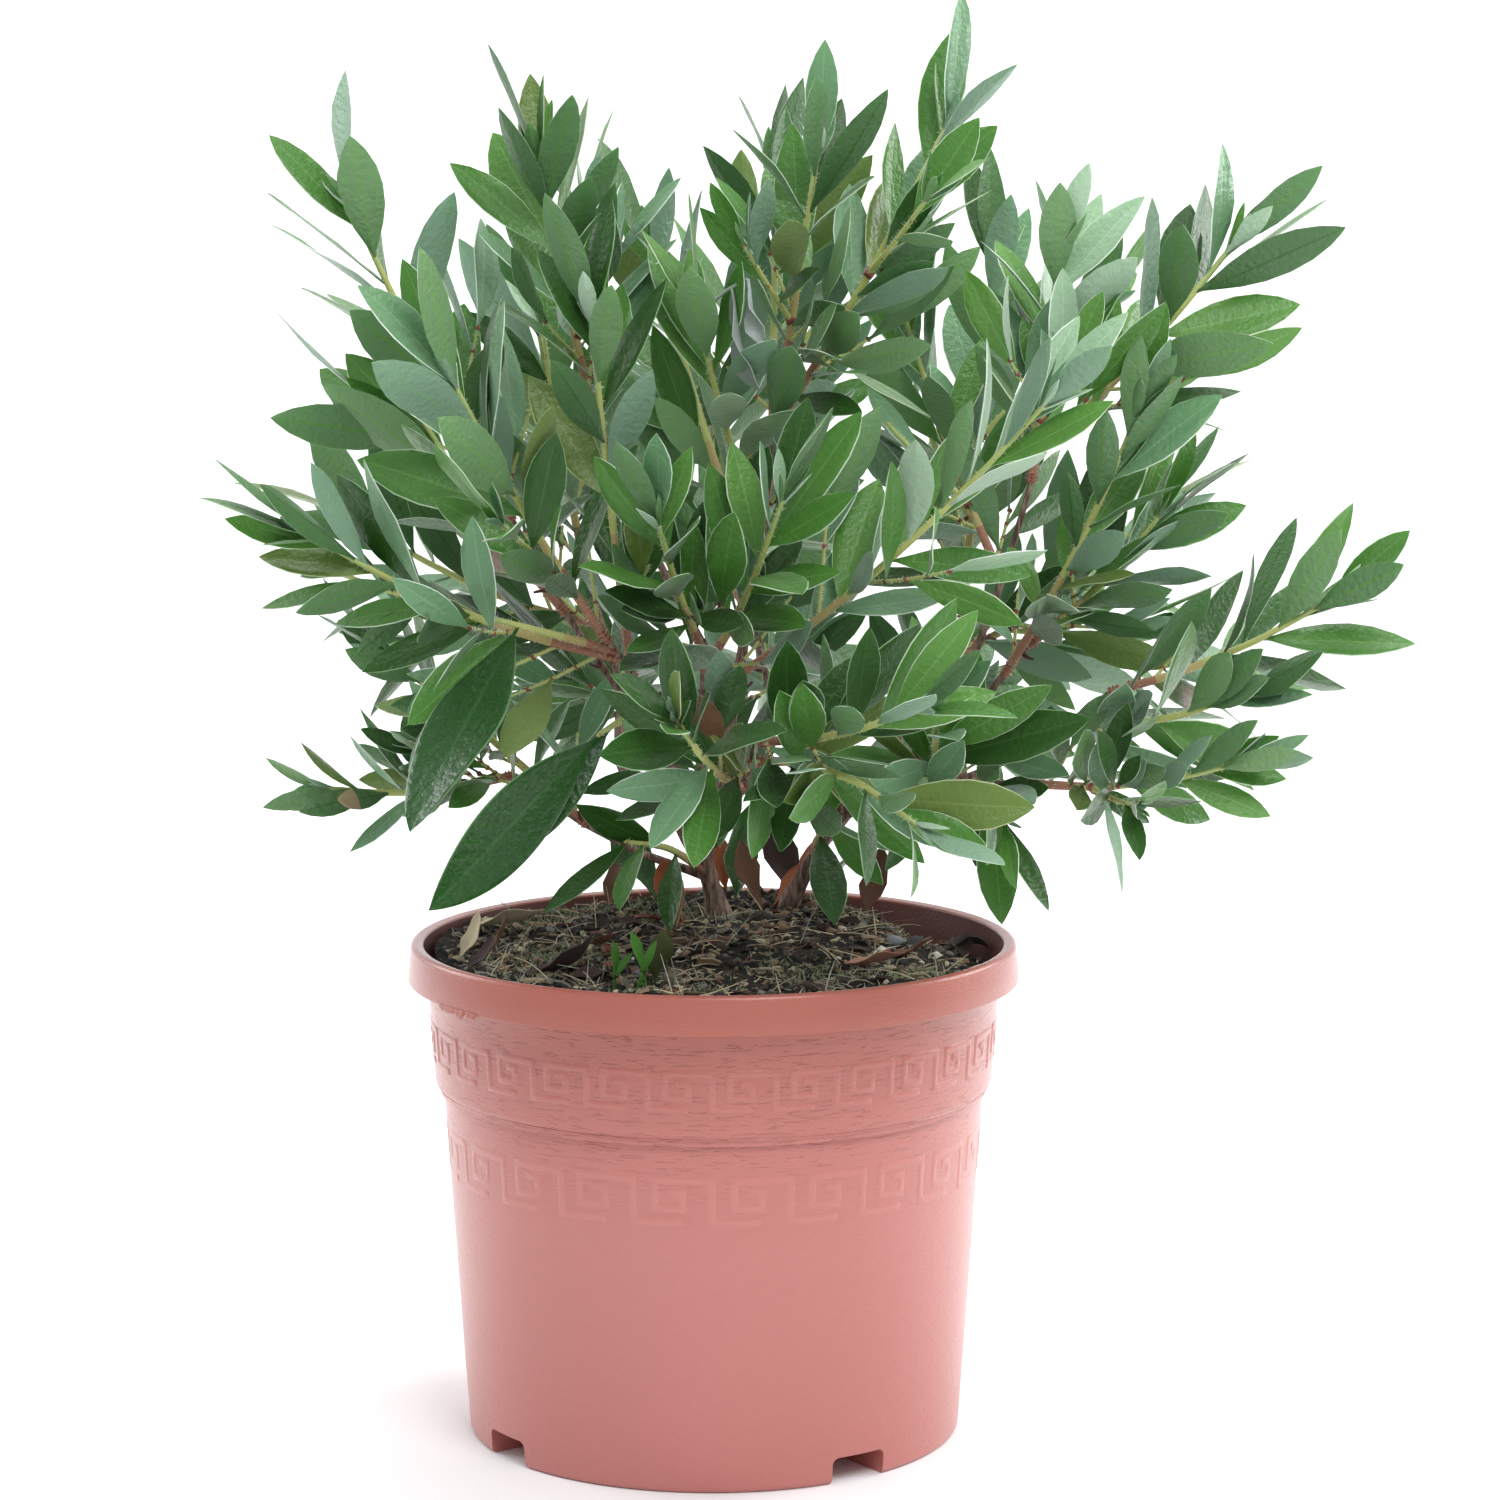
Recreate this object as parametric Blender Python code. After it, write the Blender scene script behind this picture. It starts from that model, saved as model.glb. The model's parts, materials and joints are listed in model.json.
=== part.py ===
"""A young bottlebrush shrub in a round plastic nursery pot.

Two short stems rise from the domed compost and fork into boughs. Each mass of
foliage is one leafy shoot: a stem with side twigs that branch by a seeded rule,
and leaves in a spiral round them. Sizes are in millimetres until a mesh is made.
Origin: centre of the pot's flat underside, +Z up, -Y towards the front.
"""

import math
import random
from collections import namedtuple

import bmesh
import bpy
import numpy as np
from mathutils.bvhtree import BVHTree

MM = 0.001
CLEARANCE = 0.3
WELD = 0.0002
FLAT_ANGLE = 0.0005

# Pot: a tapered tub with a skirt lip, a stepped upper tier and a notched foot
POT_HEIGHT = 179.0
LIP_RADIUS = 110.0
LIP_HEIGHT = 13.8
LIP_TOP_RADIUS = 108.9
RIM_INNER_RADIUS = 104.3
TIER_TOP_RADIUS = 102.8
TIER_LOW_RADIUS = 100.5
TIER_LOW_HEIGHT = 130.0
LEDGE_HEIGHT = 125.0
LEDGE_RADIUS = 97.3
FOOT_RADIUS = 89.1
FOOT_ROUNDING = 1.5
LIP_ROUNDING = 2.0
RIM_INNER_DROP = 0.6
WALL = 1.8
FLOOR_THICKNESS = 2.4
POT_SIDES = 40
SHARP_ANGLE = 35.0

# Foot notches, each led inwards by a raised channel under the floor
NOTCH_COUNT = 4
NOTCH_WIDTH = 22.0
NOTCH_HEIGHT = 9.5
NOTCH_FIRST_AZIMUTH = 35.0
CHANNEL_INNER_RADIUS = 52.0
CHANNEL_WALL = 2.0
DRAIN_WIDTH = 9.0
DRAIN_INSET = 4.0
CUT_REACH = 120.0
CUT_OVERRUN = 5.0

# Compost: low at the rim, domed to a level patch under the stems
SOIL_EDGE_HEIGHT = 168.0
SOIL_CROWN_HEIGHT = 181.0
SOIL_PATCH_CENTRE = (13.0, 38.0)
SOIL_PATCH_RADIUS = 36.0
SOIL_DIP_AZIMUTH = 140.0
SOIL_DIP = 5.0
SOIL_RINGS = 5
SOIL_SIDES = 28
SOIL_RING_POWER = 0.9
SOIL_WALL_GAP = 0.5

# Limbs
LIMB_SIDES = 6
LIMB_TAPER = 0.62
LIMB_STEP = 24.0
STEM_STEP = 26.0
FLARE = 0.45
FLARE_HEIGHT = 6.0
TRUNK_SHARES = (0.0, 0.1, 0.25, 0.6, 1.0)

# Shoots and leaves
GOLDEN_ANGLE = 137.5
SHOOT_BASE_RADIUS = 1.55
SHOOT_TIP_RADIUS = 0.8
TWIG_RADIUS = 1.05
TWIG_SLANT = 46.0
TWIG_SHARE = 0.45
TWIG_FIRST = 0.28
TWIG_SPACING = 0.24
TWIG_LIFT = 0.2
TWIG_SPREAD = 0.15
TWIG_SAG = 1.0
TWIG_TESTS = (0.3, 0.5, 0.75, 1.0)
TWIG_TIP_SHARE = 0.8
SHOOT_SIDES = 3
LEAF_WIDTH = 0.35
LEAF_KEEL = 0.022
LEAF_LOW_SHARE = 0.33
LEAF_HIGH_SHARE = 0.70
LEAF_SIDE_SHARE = 0.85
LEAF_SIDE_DROOP = 0.3
LEAF_DROOP = 0.05
LEAF_OPEN_ANGLE = 68.0
LEAF_TIP_ANGLE = 16.0
LEAF_ROLL = 55.0
LEAF_GAP = 0.6
SAMPLE_STEP = 15.0
STEM_TESTS = 24
LIMB_TESTS = 40
LIMB_GAP = 0.8
SOIL_GAP = 2.5
RIM_MARGIN = 5.0
LEAF_TRIES = 5
TRY_TURN = 0.45
TRY_LESS = 0.06
BARE_SHARE = 0.14
TURN_SPREAD = 0.3
SLANT_POWER = 1.4
SLANT_SPREAD = 0.18
LOW_LEAF = 0.86
SIZE_POWER = 0.8
LENGTH_SPREAD = 0.15
TWIG_GAP = 2.0
TWIG_LEAVES = 4
TWIG_LEAF_SHARE = 0.85

# A place is (azimuth, reach, height): degrees from the front towards +X,
# distance from the pot's axis, height above the ground.
Limb = namedtuple("Limb", "name parent start place girth bow")
Shoot = namedtuple("Shoot", "name parent start place bow leaf leaves twigs lift seed")

TRUNKS = (
    Limb("trunk_left", (2, 28), 0.0, (-164, 21, 213), 7.6, 0),
    Limb("trunk_right", (27, 52), 0.0, (131, 61, 220), 6.4, 0),
)

BOUGHS = (
    Limb("bough_left", "trunk_left", 1.0, (-59, 43, 289), 4.4, 8),
    Limb("bough_centre", "trunk_left", 0.86, (-10, 18, 284), 4.0, -8),
    Limb("bough_top", "trunk_left", 0.66, (121, 29, 377), 4.8, -6),
    Limb("bough_left_high", "bough_left", 0.45, (-96, 72, 329), 3.2, -6),
    Limb("bough_left_top", "bough_top", 0.36, (-105, 45, 370), 3.2, -8),
    Limb("bough_low_left", "trunk_left", 0.5, (-107, 76, 235), 3.4, -5),
    Limb("bough_front", "trunk_left", 0.8, (14, 64, 259), 3.4, -8),
    Limb("bough_right", "trunk_right", 1.0, (96, 117, 233), 4.0, 4),
    Limb("bough_right_mid", "trunk_right", 0.85, (99, 115, 283), 4.0, -8),
    Limb("bough_right_out", "bough_right", 0.55, (99, 145, 265), 2.9, -4),
    Limb("bough_right_high", "bough_right_mid", 0.42, (97, 118, 354), 3.2, -12),
    Limb("bough_back_left", "trunk_left", 0.42, (-150, 95, 300), 3.6, -12),
    Limb("bough_back", "trunk_right", 0.7, (175, 112, 300), 3.6, -10),
    Limb("bough_back_right", "trunk_right", 0.55, (132, 125, 285), 3.6, -8),
)

SHOOTS = (
    Shoot("shoot_left_top", "bough_left_high", 1.0, (-92, 128, 441), -4, 56, 11, 1, 0.1, 20),
    Shoot("shoot_left_upper", "bough_left", 1.0, (-58, 103, 380), -4, 56, 11, 1, 0.1, 64),
    Shoot("shoot_left_out", "bough_left", 0.9, (-66, 150, 330), -6, 50, 12, 2, 0.1, 58),
    Shoot("shoot_left_mid", "bough_left", 0.78, (-50, 54, 401), -8, 52, 11, 1, 0.1, 14),
    Shoot("shoot_left_side", "bough_left_high", 0.6, (-94, 106, 368), -4, 54, 9, 0, 0.1, 41),
    Shoot("shoot_top_left", "bough_left_top", 1.0, (-95, 62, 456), -2, 50, 12, 2, 0.1, 45),
    Shoot("shoot_low_left", "bough_low_left", 1.0, (-94, 140, 232), -4, 34, 11, 1, 0.1, 77),
    Shoot("shoot_low_left_up", "bough_low_left", 0.6, (-100, 122, 280), 2, 38, 10, 1, 0.1, 50),
    Shoot("shoot_left_hanging", "bough_left", 0.6, (-53, 50, 257), 2, 92, 4, 0, -0.5, 34),
    Shoot("shoot_left_large", "bough_left", 0.945, (-60, 90, 300), 0, 92, 4, 0, -0.9, 12),
    Shoot("shoot_foot_left", "trunk_left", 0.55, (-88, 31, 214), 4, 46, 5, 0, -0.6, 119),
    Shoot("shoot_foot_right", "trunk_right", 0.5, (112, 46, 222), 3, 44, 5, 0, -0.5, 72),
    Shoot("shoot_centre_left", "bough_centre", 1.0, (-17, 63, 334), -4, 46, 10, 0, 0.1, 74),
    Shoot("shoot_centre", "bough_centre", 0.92, (22, 65, 342), -6, 48, 11, 0, 0.1, 50),
    Shoot("shoot_centre_right", "bough_centre", 0.8, (62, 128, 374), -8, 48, 15, 1, 0.1, 82),
    Shoot("shoot_front_right", "bough_front", 1.0, (32, 129, 277), -4, 46, 11, 0, 0.1, 77),
    Shoot("shoot_front_low", "bough_front", 0.88, (30, 139, 238), 8, 44, 11, 0, 0.0, 91),
    Shoot("shoot_front_left", "bough_front", 0.72, (-6, 108, 272), -4, 44, 10, 0, 0.0, 18),
    Shoot("shoot_top", "bough_top", 0.92, (83, 82, 468), -4, 52, 13, 2, 0.1, 85),
    Shoot("shoot_top_mid", "bough_top", 1.0, (75, 38, 458), 2, 46, 10, 1, 0.1, 96),
    Shoot("shoot_top_centre", "bough_top", 0.7, (-12, 24, 402), -6, 54, 11, 0, 0.1, 39),
    Shoot("shoot_right_top", "bough_right_high", 1.0, (93, 184, 426), -4, 54, 13, 2, 0.1, 104),
    Shoot("shoot_right_new", "bough_right_high", 0.9, (90, 122, 424), -4, 46, 12, 1, 0.1, 43),
    Shoot("shoot_right_up", "bough_right_mid", 1.0, (94, 160, 330), -4, 46, 11, 1, 0.1, 86),
    Shoot("shoot_right_upper", "bough_right_mid", 0.86, (86, 150, 368), -6, 46, 11, 1, 0.1, 71),
    Shoot("shoot_right_out", "bough_right_out", 1.0, (93, 222, 300), -4, 50, 11, 0, 0.1, 114),
    Shoot("shoot_right_low", "bough_right", 1.0, (84, 186, 245), -4, 38, 12, 1, 0.1, 68),
    Shoot("shoot_right_mid", "bough_right_out", 0.7, (88, 188, 268), -4, 50, 9, 0, 0.1, 50),
    Shoot("shoot_right_drop", "bough_right", 0.7, (79, 105, 224), 4, 44, 6, 0, -0.7, 38),
    Shoot("shoot_right_inner", "bough_right", 0.5, (62, 88, 268), -6, 50, 10, 0, 0.1, 13),
    Shoot("shoot_back_left_top", "bough_back_left", 1.0, (-148, 128, 398), -4, 52, 11, 2, 0.1, 55),
    Shoot("shoot_back_left_out", "bough_back_left", 0.86, (-124, 162, 322), -6, 50, 11, 1, 0.1, 35),
    Shoot("shoot_back_left_low", "bough_back_left", 0.62, (-160, 142, 258), -4, 48, 10, 1, 0.0, 1),
    Shoot("shoot_back_top", "bough_back", 1.0, (175, 132, 418), -4, 52, 11, 2, 0.1, 57),
    Shoot("shoot_back_out", "bough_back", 0.84, (-176, 172, 335), -6, 50, 11, 1, 0.1, 59),
    Shoot("shoot_back_low", "bough_back", 0.6, (170, 158, 256), -4, 48, 10, 1, 0.0, 74),
    Shoot("shoot_back_right_top", "bough_back_right", 1.0, (132, 140, 415), -4, 52, 11, 2, 0.1, 54),
    Shoot("shoot_back_right_out", "bough_back_right", 0.84, (120, 188, 322), -6, 50, 11, 1, 0.1, 35),
    Shoot("shoot_back_right_low", "bough_back_right", 0.62, (142, 158, 252), -4, 48, 10, 1, 0.0, 104),
    Shoot("shoot_crown_left", "bough_top", 0.6, (-158, 60, 424), -4, 52, 11, 1, 0.1, 98),
    Shoot("shoot_crown_right", "bough_right_high", 0.6, (121, 80, 402), -4, 50, 11, 1, 0.1, 3),
    Shoot("shoot_crown_back", "bough_top", 0.84, (160, 66, 446), -4, 52, 11, 1, 0.1, 47),
)

# Colours as linear red, green, blue, with roughness
POT_LOOK = ((0.47, 0.13, 0.09), 0.42)
SOIL_LOOK = ((0.045, 0.032, 0.02), 0.95)
BARK_LOOK = ((0.20, 0.13, 0.09), 0.85)
LEAF_LOOK = ((0.07, 0.19, 0.05), 0.5)


def place(azimuth, reach, height):
    """The point at an azimuth and reach from the pot's axis, and a height."""
    angle = math.radians(azimuth)
    return np.array([reach * math.sin(angle), -reach * math.cos(angle), float(height)])


def unit(vector):
    """The vector at length one."""
    return vector / np.linalg.norm(vector)


def across(direction):
    """Two unit vectors square to a direction; the second points as far up as it can."""
    helper = np.array([0.0, 0.0, 1.0])
    if abs(direction[2]) > 0.95:
        helper = np.array([0.0, 1.0, 0.0])
    side = unit(np.cross(direction, helper))
    return side, np.cross(side, direction)


def clear_scene():
    """Empty the file's scene."""
    for item in list(bpy.data.objects):
        bpy.data.objects.remove(item, do_unlink=True)


def finish(name, colour, roughness):
    """A plain coat for one sub-part."""
    material = bpy.data.materials.new(name)
    material.use_nodes = True
    shader = material.node_tree.nodes["Principled BSDF"]
    shader.inputs["Base Color"].default_value = (*colour, 1.0)
    shader.inputs["Roughness"].default_value = roughness
    shader.inputs["Metallic"].default_value = 0.0
    return material


def add_object(name, points, faces, look=None):
    """A mesh object from points in millimetres."""
    mesh = bpy.data.meshes.new(name)
    mesh.from_pydata([tuple(float(c) * MM for c in p) for p in points], [], faces)
    mesh.update()
    item = bpy.data.objects.new(name, mesh)
    bpy.context.scene.collection.objects.link(item)
    if look is not None:
        mesh.materials.append(finish(name, *look))
    return item


def shells_of(mesh):
    """The separate shells of a mesh, each as a list of its faces."""
    shells = []
    seen = set()
    for start in mesh.faces:
        if start in seen:
            continue
        seen.add(start)
        shell = [start]
        for face in shell:
            for edge in face.edges:
                for near in edge.link_faces:
                    if near not in seen:
                        seen.add(near)
                        shell.append(near)
        shells.append(shell)
    return shells


def keep_one_body(data, level):
    """Drop loose scraps and fill sealed hollows; true if the body left is closed."""
    mesh = bmesh.new()
    mesh.from_mesh(data)
    bmesh.ops.remove_doubles(mesh, verts=mesh.verts, dist=WELD * MM)
    bmesh.ops.dissolve_degenerate(mesh, edges=mesh.edges, dist=WELD * MM)
    if level:
        bmesh.ops.dissolve_limit(mesh, angle_limit=FLAT_ANGLE, verts=mesh.verts, edges=mesh.edges)
    bmesh.ops.triangulate(mesh, faces=mesh.faces)
    shells = shells_of(mesh)
    if not shells:
        mesh.free()
        return False
    volumes = [sum(f.verts[0].co.cross(f.verts[1].co).dot(f.verts[2].co) for f in s) for s in shells]
    largest = volumes.index(max(volumes))
    scraps = [face for k, shell in enumerate(shells) if k != largest for face in shell]
    bmesh.ops.delete(mesh, geom=scraps, context="FACES")
    closed = all(len(edge.link_faces) == 2 for edge in mesh.edges)
    mesh.to_mesh(data)
    mesh.free()
    return closed


def combine(item, others, operation):
    """One Boolean of an object with a collection of others, which are removed."""
    group = bpy.data.collections.new(item.name + "_pieces")
    bpy.context.scene.collection.children.link(group)
    for other in others:
        bpy.context.scene.collection.objects.unlink(other)
        group.objects.link(other)
        other.hide_render = True
        other.display_type = "WIRE"
    modifier = item.modifiers.new("combine", "BOOLEAN")
    modifier.operation = operation
    modifier.operand_type = "COLLECTION"
    modifier.collection = group
    for solver, level in (("EXACT", True), ("EXACT", False), ("MANIFOLD", True), ("MANIFOLD", False)):
        modifier.solver = solver
        bpy.context.view_layer.update()
        evaluated = item.evaluated_get(bpy.context.evaluated_depsgraph_get())
        mesh = bpy.data.meshes.new_from_object(evaluated)
        if keep_one_body(mesh, level):
            break
    item.modifiers.clear()
    old = item.data
    item.data = mesh
    bpy.data.meshes.remove(old)
    for other in others:
        mesh = other.data
        bpy.data.objects.remove(other, do_unlink=True)
        bpy.data.meshes.remove(mesh)
    bpy.data.collections.remove(group)


def turned(name, profile, sides, look):
    """A solid turned round +Z from (radius, height) points, outer side first, axis to axis."""
    points = []
    rings = []
    for radius, height in profile:
        if radius == 0.0:
            rings.append([len(points)])
            points.append((0.0, 0.0, height))
            continue
        rings.append(list(range(len(points), len(points) + sides)))
        for k in range(sides):
            angle = 2.0 * math.pi * k / sides
            points.append((radius * math.cos(angle), radius * math.sin(angle), height))
    faces = []
    for low, high in zip(rings, rings[1:]):
        for k in range(sides):
            after = (k + 1) % sides
            if len(low) == 1:
                faces.append((low[0], high[after], high[k]))
            elif len(high) == 1:
                faces.append((low[k], low[after], high[0]))
            else:
                faces.append((low[k], low[after], high[after], high[k]))
    return add_object(name, points, faces, look)


def block(name, near, far, width, bottom, top, azimuth):
    """A box that runs outwards along an azimuth from one radius to another."""
    outward = place(azimuth, 1.0, 0.0)
    side = np.array([-outward[1], outward[0], 0.0])
    points = []
    for height in (bottom, top):
        for radius, half in ((near, -1), (far, -1), (far, 1), (near, 1)):
            points.append(outward * radius + side * half * width / 2 + np.array([0, 0, height]))
    faces = [(0, 3, 2, 1), (4, 5, 6, 7), (0, 1, 5, 4), (1, 2, 6, 5), (2, 3, 7, 6), (3, 0, 4, 7)]
    return add_object(name, points, faces)


def notch_azimuths():
    """Where the foot notches stand round the pot."""
    return [NOTCH_FIRST_AZIMUTH + 360.0 * k / NOTCH_COUNT for k in range(NOTCH_COUNT)]


def inner_radius(height):
    """Radius of the pot's inner wall at a height, following the outer taper."""
    if height > LEDGE_HEIGHT + FLOOR_THICKNESS:
        share = (height - TIER_LOW_HEIGHT) / (POT_HEIGHT - LIP_HEIGHT - TIER_LOW_HEIGHT)
        return TIER_LOW_RADIUS + share * (TIER_TOP_RADIUS - TIER_LOW_RADIUS) - WALL
    share = height / LEDGE_HEIGHT
    return FOOT_RADIUS + share * (LEDGE_RADIUS - FOOT_RADIUS) - WALL


def make_pot():
    """The tub, with its lip, stepped tier, floor, notches and drain holes."""
    lip_base = POT_HEIGHT - LIP_HEIGHT
    profile = [
        (0.0, 0.0),
        (FOOT_RADIUS - FOOT_ROUNDING, 0.0),
        (FOOT_RADIUS, FOOT_ROUNDING),
        (LEDGE_RADIUS, LEDGE_HEIGHT),
        (TIER_LOW_RADIUS, TIER_LOW_HEIGHT),
        (TIER_TOP_RADIUS, lip_base),
        (LIP_RADIUS, lip_base),
        (LIP_TOP_RADIUS, POT_HEIGHT - LIP_ROUNDING),
        (LIP_TOP_RADIUS - LIP_ROUNDING, POT_HEIGHT),
        (RIM_INNER_RADIUS, POT_HEIGHT - RIM_INNER_DROP),
        (inner_radius(lip_base), lip_base),
        (inner_radius(TIER_LOW_HEIGHT), TIER_LOW_HEIGHT),
        (inner_radius(LEDGE_HEIGHT), LEDGE_HEIGHT),
        (inner_radius(FLOOR_THICKNESS), FLOOR_THICKNESS),
        (0.0, FLOOR_THICKNESS),
    ]
    pot = turned("pot", profile, POT_SIDES, POT_LOOK)
    reach = FOOT_RADIUS - WALL
    width = NOTCH_WIDTH + 2 * CHANNEL_WALL
    top = NOTCH_HEIGHT + CHANNEL_WALL
    inner = CHANNEL_INNER_RADIUS - CHANNEL_WALL
    covers = [block("cover", inner, reach, width, FLOOR_THICKNESS / 2, top, a) for a in notch_azimuths()]
    combine(pot, covers, "UNION")
    cuts = []
    for azimuth in notch_azimuths():
        cuts.append(block("notch", CHANNEL_INNER_RADIUS, CUT_REACH, NOTCH_WIDTH, -CUT_OVERRUN, NOTCH_HEIGHT, azimuth))
        near = CHANNEL_INNER_RADIUS + DRAIN_INSET
        far = near + DRAIN_WIDTH
        cuts.append(block("drain", near, far, DRAIN_WIDTH, NOTCH_HEIGHT / 2, top + CUT_OVERRUN, azimuth))
    combine(pot, cuts, "DIFFERENCE")
    pot.data.set_sharp_from_angle(angle=math.radians(SHARP_ANGLE))
    return pot


def soil_height(x, y):
    """Height of the compost: a level patch under the stems that falls away to the wall."""
    away = math.hypot(x - SOIL_PATCH_CENTRE[0], y - SOIL_PATCH_CENTRE[1]) - SOIL_PATCH_RADIUS
    if away <= 0.0:
        return SOIL_CROWN_HEIGHT
    wall = inner_radius(SOIL_EDGE_HEIGHT)
    share = min(1.0, away / max(1.0, away + wall - math.hypot(x, y)))
    fall = share * share * (3.0 - 2.0 * share)
    dip = SOIL_DIP * share * max(0.0, math.cos(math.atan2(x, -y) - math.radians(SOIL_DIP_AZIMUTH)))
    return SOIL_CROWN_HEIGHT - (SOIL_CROWN_HEIGHT - SOIL_EDGE_HEIGHT) * fall - dip


def make_soil():
    """The compost that fills the pot, domed on top and clear of the wall and channels."""
    points = []
    rings = []
    centre_x, centre_y = SOIL_PATCH_CENTRE
    wall = inner_radius(SOIL_EDGE_HEIGHT - SOIL_DIP) - CLEARANCE - SOIL_WALL_GAP
    for ring in range(1, SOIL_RINGS + 1):
        share = (ring / SOIL_RINGS) ** SOIL_RING_POWER
        rings.append([])
        for k in range(SOIL_SIDES):
            angle = 2.0 * math.pi * k / SOIL_SIDES
            edge = (wall * math.cos(angle), wall * math.sin(angle))
            x = centre_x + (edge[0] - centre_x) * share
            y = centre_y + (edge[1] - centre_y) * share
            rings[-1].append(len(points))
            points.append((x, y, soil_height(x, y)))
    for height in (TIER_LOW_HEIGHT, LEDGE_HEIGHT, FLOOR_THICKNESS + CLEARANCE):
        radius = inner_radius(height) - CLEARANCE - SOIL_WALL_GAP
        rings.append([])
        for k in range(SOIL_SIDES):
            angle = 2.0 * math.pi * k / SOIL_SIDES
            rings[-1].append(len(points))
            points.append((radius * math.cos(angle), radius * math.sin(angle), height))
    top = len(points)
    points.append((centre_x, centre_y, SOIL_CROWN_HEIGHT))
    bottom = len(points)
    points.append((0.0, 0.0, FLOOR_THICKNESS + CLEARANCE))
    faces = []
    for k in range(SOIL_SIDES):
        after = (k + 1) % SOIL_SIDES
        faces.append((top, rings[0][k], rings[0][after]))
        faces.append((bottom, rings[-1][after], rings[-1][k]))
        for inner, outer in zip(rings, rings[1:]):
            faces.append((inner[k], outer[k], outer[after]))
            faces.append((inner[k], outer[after], inner[after]))
    soil = add_object("soil", points, faces, SOIL_LOOK)
    width = NOTCH_WIDTH + 2 * CHANNEL_WALL + 2 * CLEARANCE
    roof = NOTCH_HEIGHT + CHANNEL_WALL + CLEARANCE
    inner = CHANNEL_INNER_RADIUS - CHANNEL_WALL - CLEARANCE
    cuts = [block("cut", inner, CUT_REACH, width, -CUT_OVERRUN, roof, a) for a in notch_azimuths()]
    combine(soil, cuts, "DIFFERENCE")
    return soil


def bent_path(start, end, bow, step):
    """Points on one smooth arc from start to end, raised by bow at its middle."""
    count = max(2, round(np.linalg.norm(end - start) / step))
    middle = (start + end) / 2 + np.array([0.0, 0.0, 2.0 * bow])
    shares = np.linspace(0.0, 1.0, count + 1)
    return np.array([(1 - t) ** 2 * start + 2 * t * (1 - t) * middle + t * t * end for t in shares])


def along(path, share):
    """Point and direction at a share of a path's length."""
    steps = np.linalg.norm(np.diff(path, axis=0), axis=1)
    reached = np.concatenate([[0.0], np.cumsum(steps)])
    distance = share * reached[-1]
    index = min(int(np.searchsorted(reached, distance, side="right")) - 1, len(steps) - 1)
    part = (distance - reached[index]) / steps[index]
    return path[index] + part * (path[index + 1] - path[index]), unit(path[index + 1] - path[index])


def tube(name, path, radii, sides, look=None, pointed=False):
    """A tapering tube through the points of a path, closed at both ends."""
    points = []
    rings = []
    side, up = across(unit(path[1] - path[0]))
    for k, centre in enumerate(path):
        ahead = path[min(k + 1, len(path) - 1)] - path[max(k - 1, 0)]
        direction = unit(ahead)
        side = unit(side - direction * np.dot(side, direction))
        up = np.cross(side, direction)
        rings.append([])
        for j in range(sides):
            angle = 2.0 * math.pi * j / sides
            rings[-1].append(len(points))
            points.append(centre + radii[k] * (math.cos(angle) * side + math.sin(angle) * up))
    faces = [tuple(rings[0])]
    for low, high in zip(rings, rings[1:]):
        for j in range(sides):
            after = (j + 1) % sides
            faces.append((low[j], high[j], high[after]))
            faces.append((low[j], high[after], low[after]))
    if pointed:
        tip = len(points)
        points.append(path[-1] + unit(path[-1] - path[-2]) * radii[-1])
        faces += [(rings[-1][j], tip, rings[-1][(j + 1) % sides]) for j in range(sides)]
    else:
        faces.append(tuple(reversed(rings[-1])))
    return add_object(name, points, faces, look)


def limb_radii(limb, path, grounded):
    """Radius at each point of a limb's path, flared where it meets the ground."""
    shares = np.linspace(0.0, 1.0, len(path))
    radii = limb.girth / 2 * (1.0 - (1.0 - LIMB_TAPER) * shares)
    if grounded:
        radii *= 1.0 + FLARE * np.exp(-(path[:, 2] - path[0][2]) / FLARE_HEIGHT)
    return radii


def grown(name, path, radii, sides):
    """A limb's outline grown by the clearance, to cut what meets it."""
    wider = radii + CLEARANCE / math.cos(math.pi / sides)
    longer = path.copy()
    longer[-1] += unit(path[-1] - path[-2]) * CLEARANCE
    longer[0] -= unit(path[1] - path[0]) * CLEARANCE
    return tube(name, longer, wider, sides)


def trunk_path(limb):
    """A trunk's path, from its level cut on the compost to its fork."""
    foot = np.array([limb.parent[0], limb.parent[1], SOIL_CROWN_HEIGHT + CLEARANCE])
    return np.array([foot + (place(*limb.place) - foot) * share for share in TRUNK_SHARES])


def level_foot(item, height):
    """Move a tube's first ring onto one level, for a flat cut."""
    for vertex in item.data.vertices[:LIMB_SIDES]:
        vertex.co.z = height * MM


def make_limbs():
    """Every trunk and bough, with the path and radii of each by name."""
    paths = {}
    radii = {}
    for limb in TRUNKS:
        path = trunk_path(limb)
        size = limb_radii(limb, path, True)
        item = tube(limb.name, path, size, LIMB_SIDES, BARK_LOOK)
        level_foot(item, path[0][2])
        paths[limb.name] = path
        radii[limb.name] = size
    for limb in BOUGHS:
        start, _ = along(paths[limb.parent], limb.start)
        path = bent_path(start, place(*limb.place), limb.bow, LIMB_STEP)
        size = limb_radii(limb, path, False)
        item = tube(limb.name, path, size, LIMB_SIDES, BARK_LOOK)
        rivals = [limb.parent]
        for other in BOUGHS:
            if other.name in paths and other.parent == limb.parent:
                rivals.append(other.name)
        cuts = [grown("cut", paths[name], radii[name], LIMB_SIDES) for name in rivals]
        combine(item, cuts, "DIFFERENCE")
        paths[limb.name] = path
        radii[limb.name] = size
    return paths, radii


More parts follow.
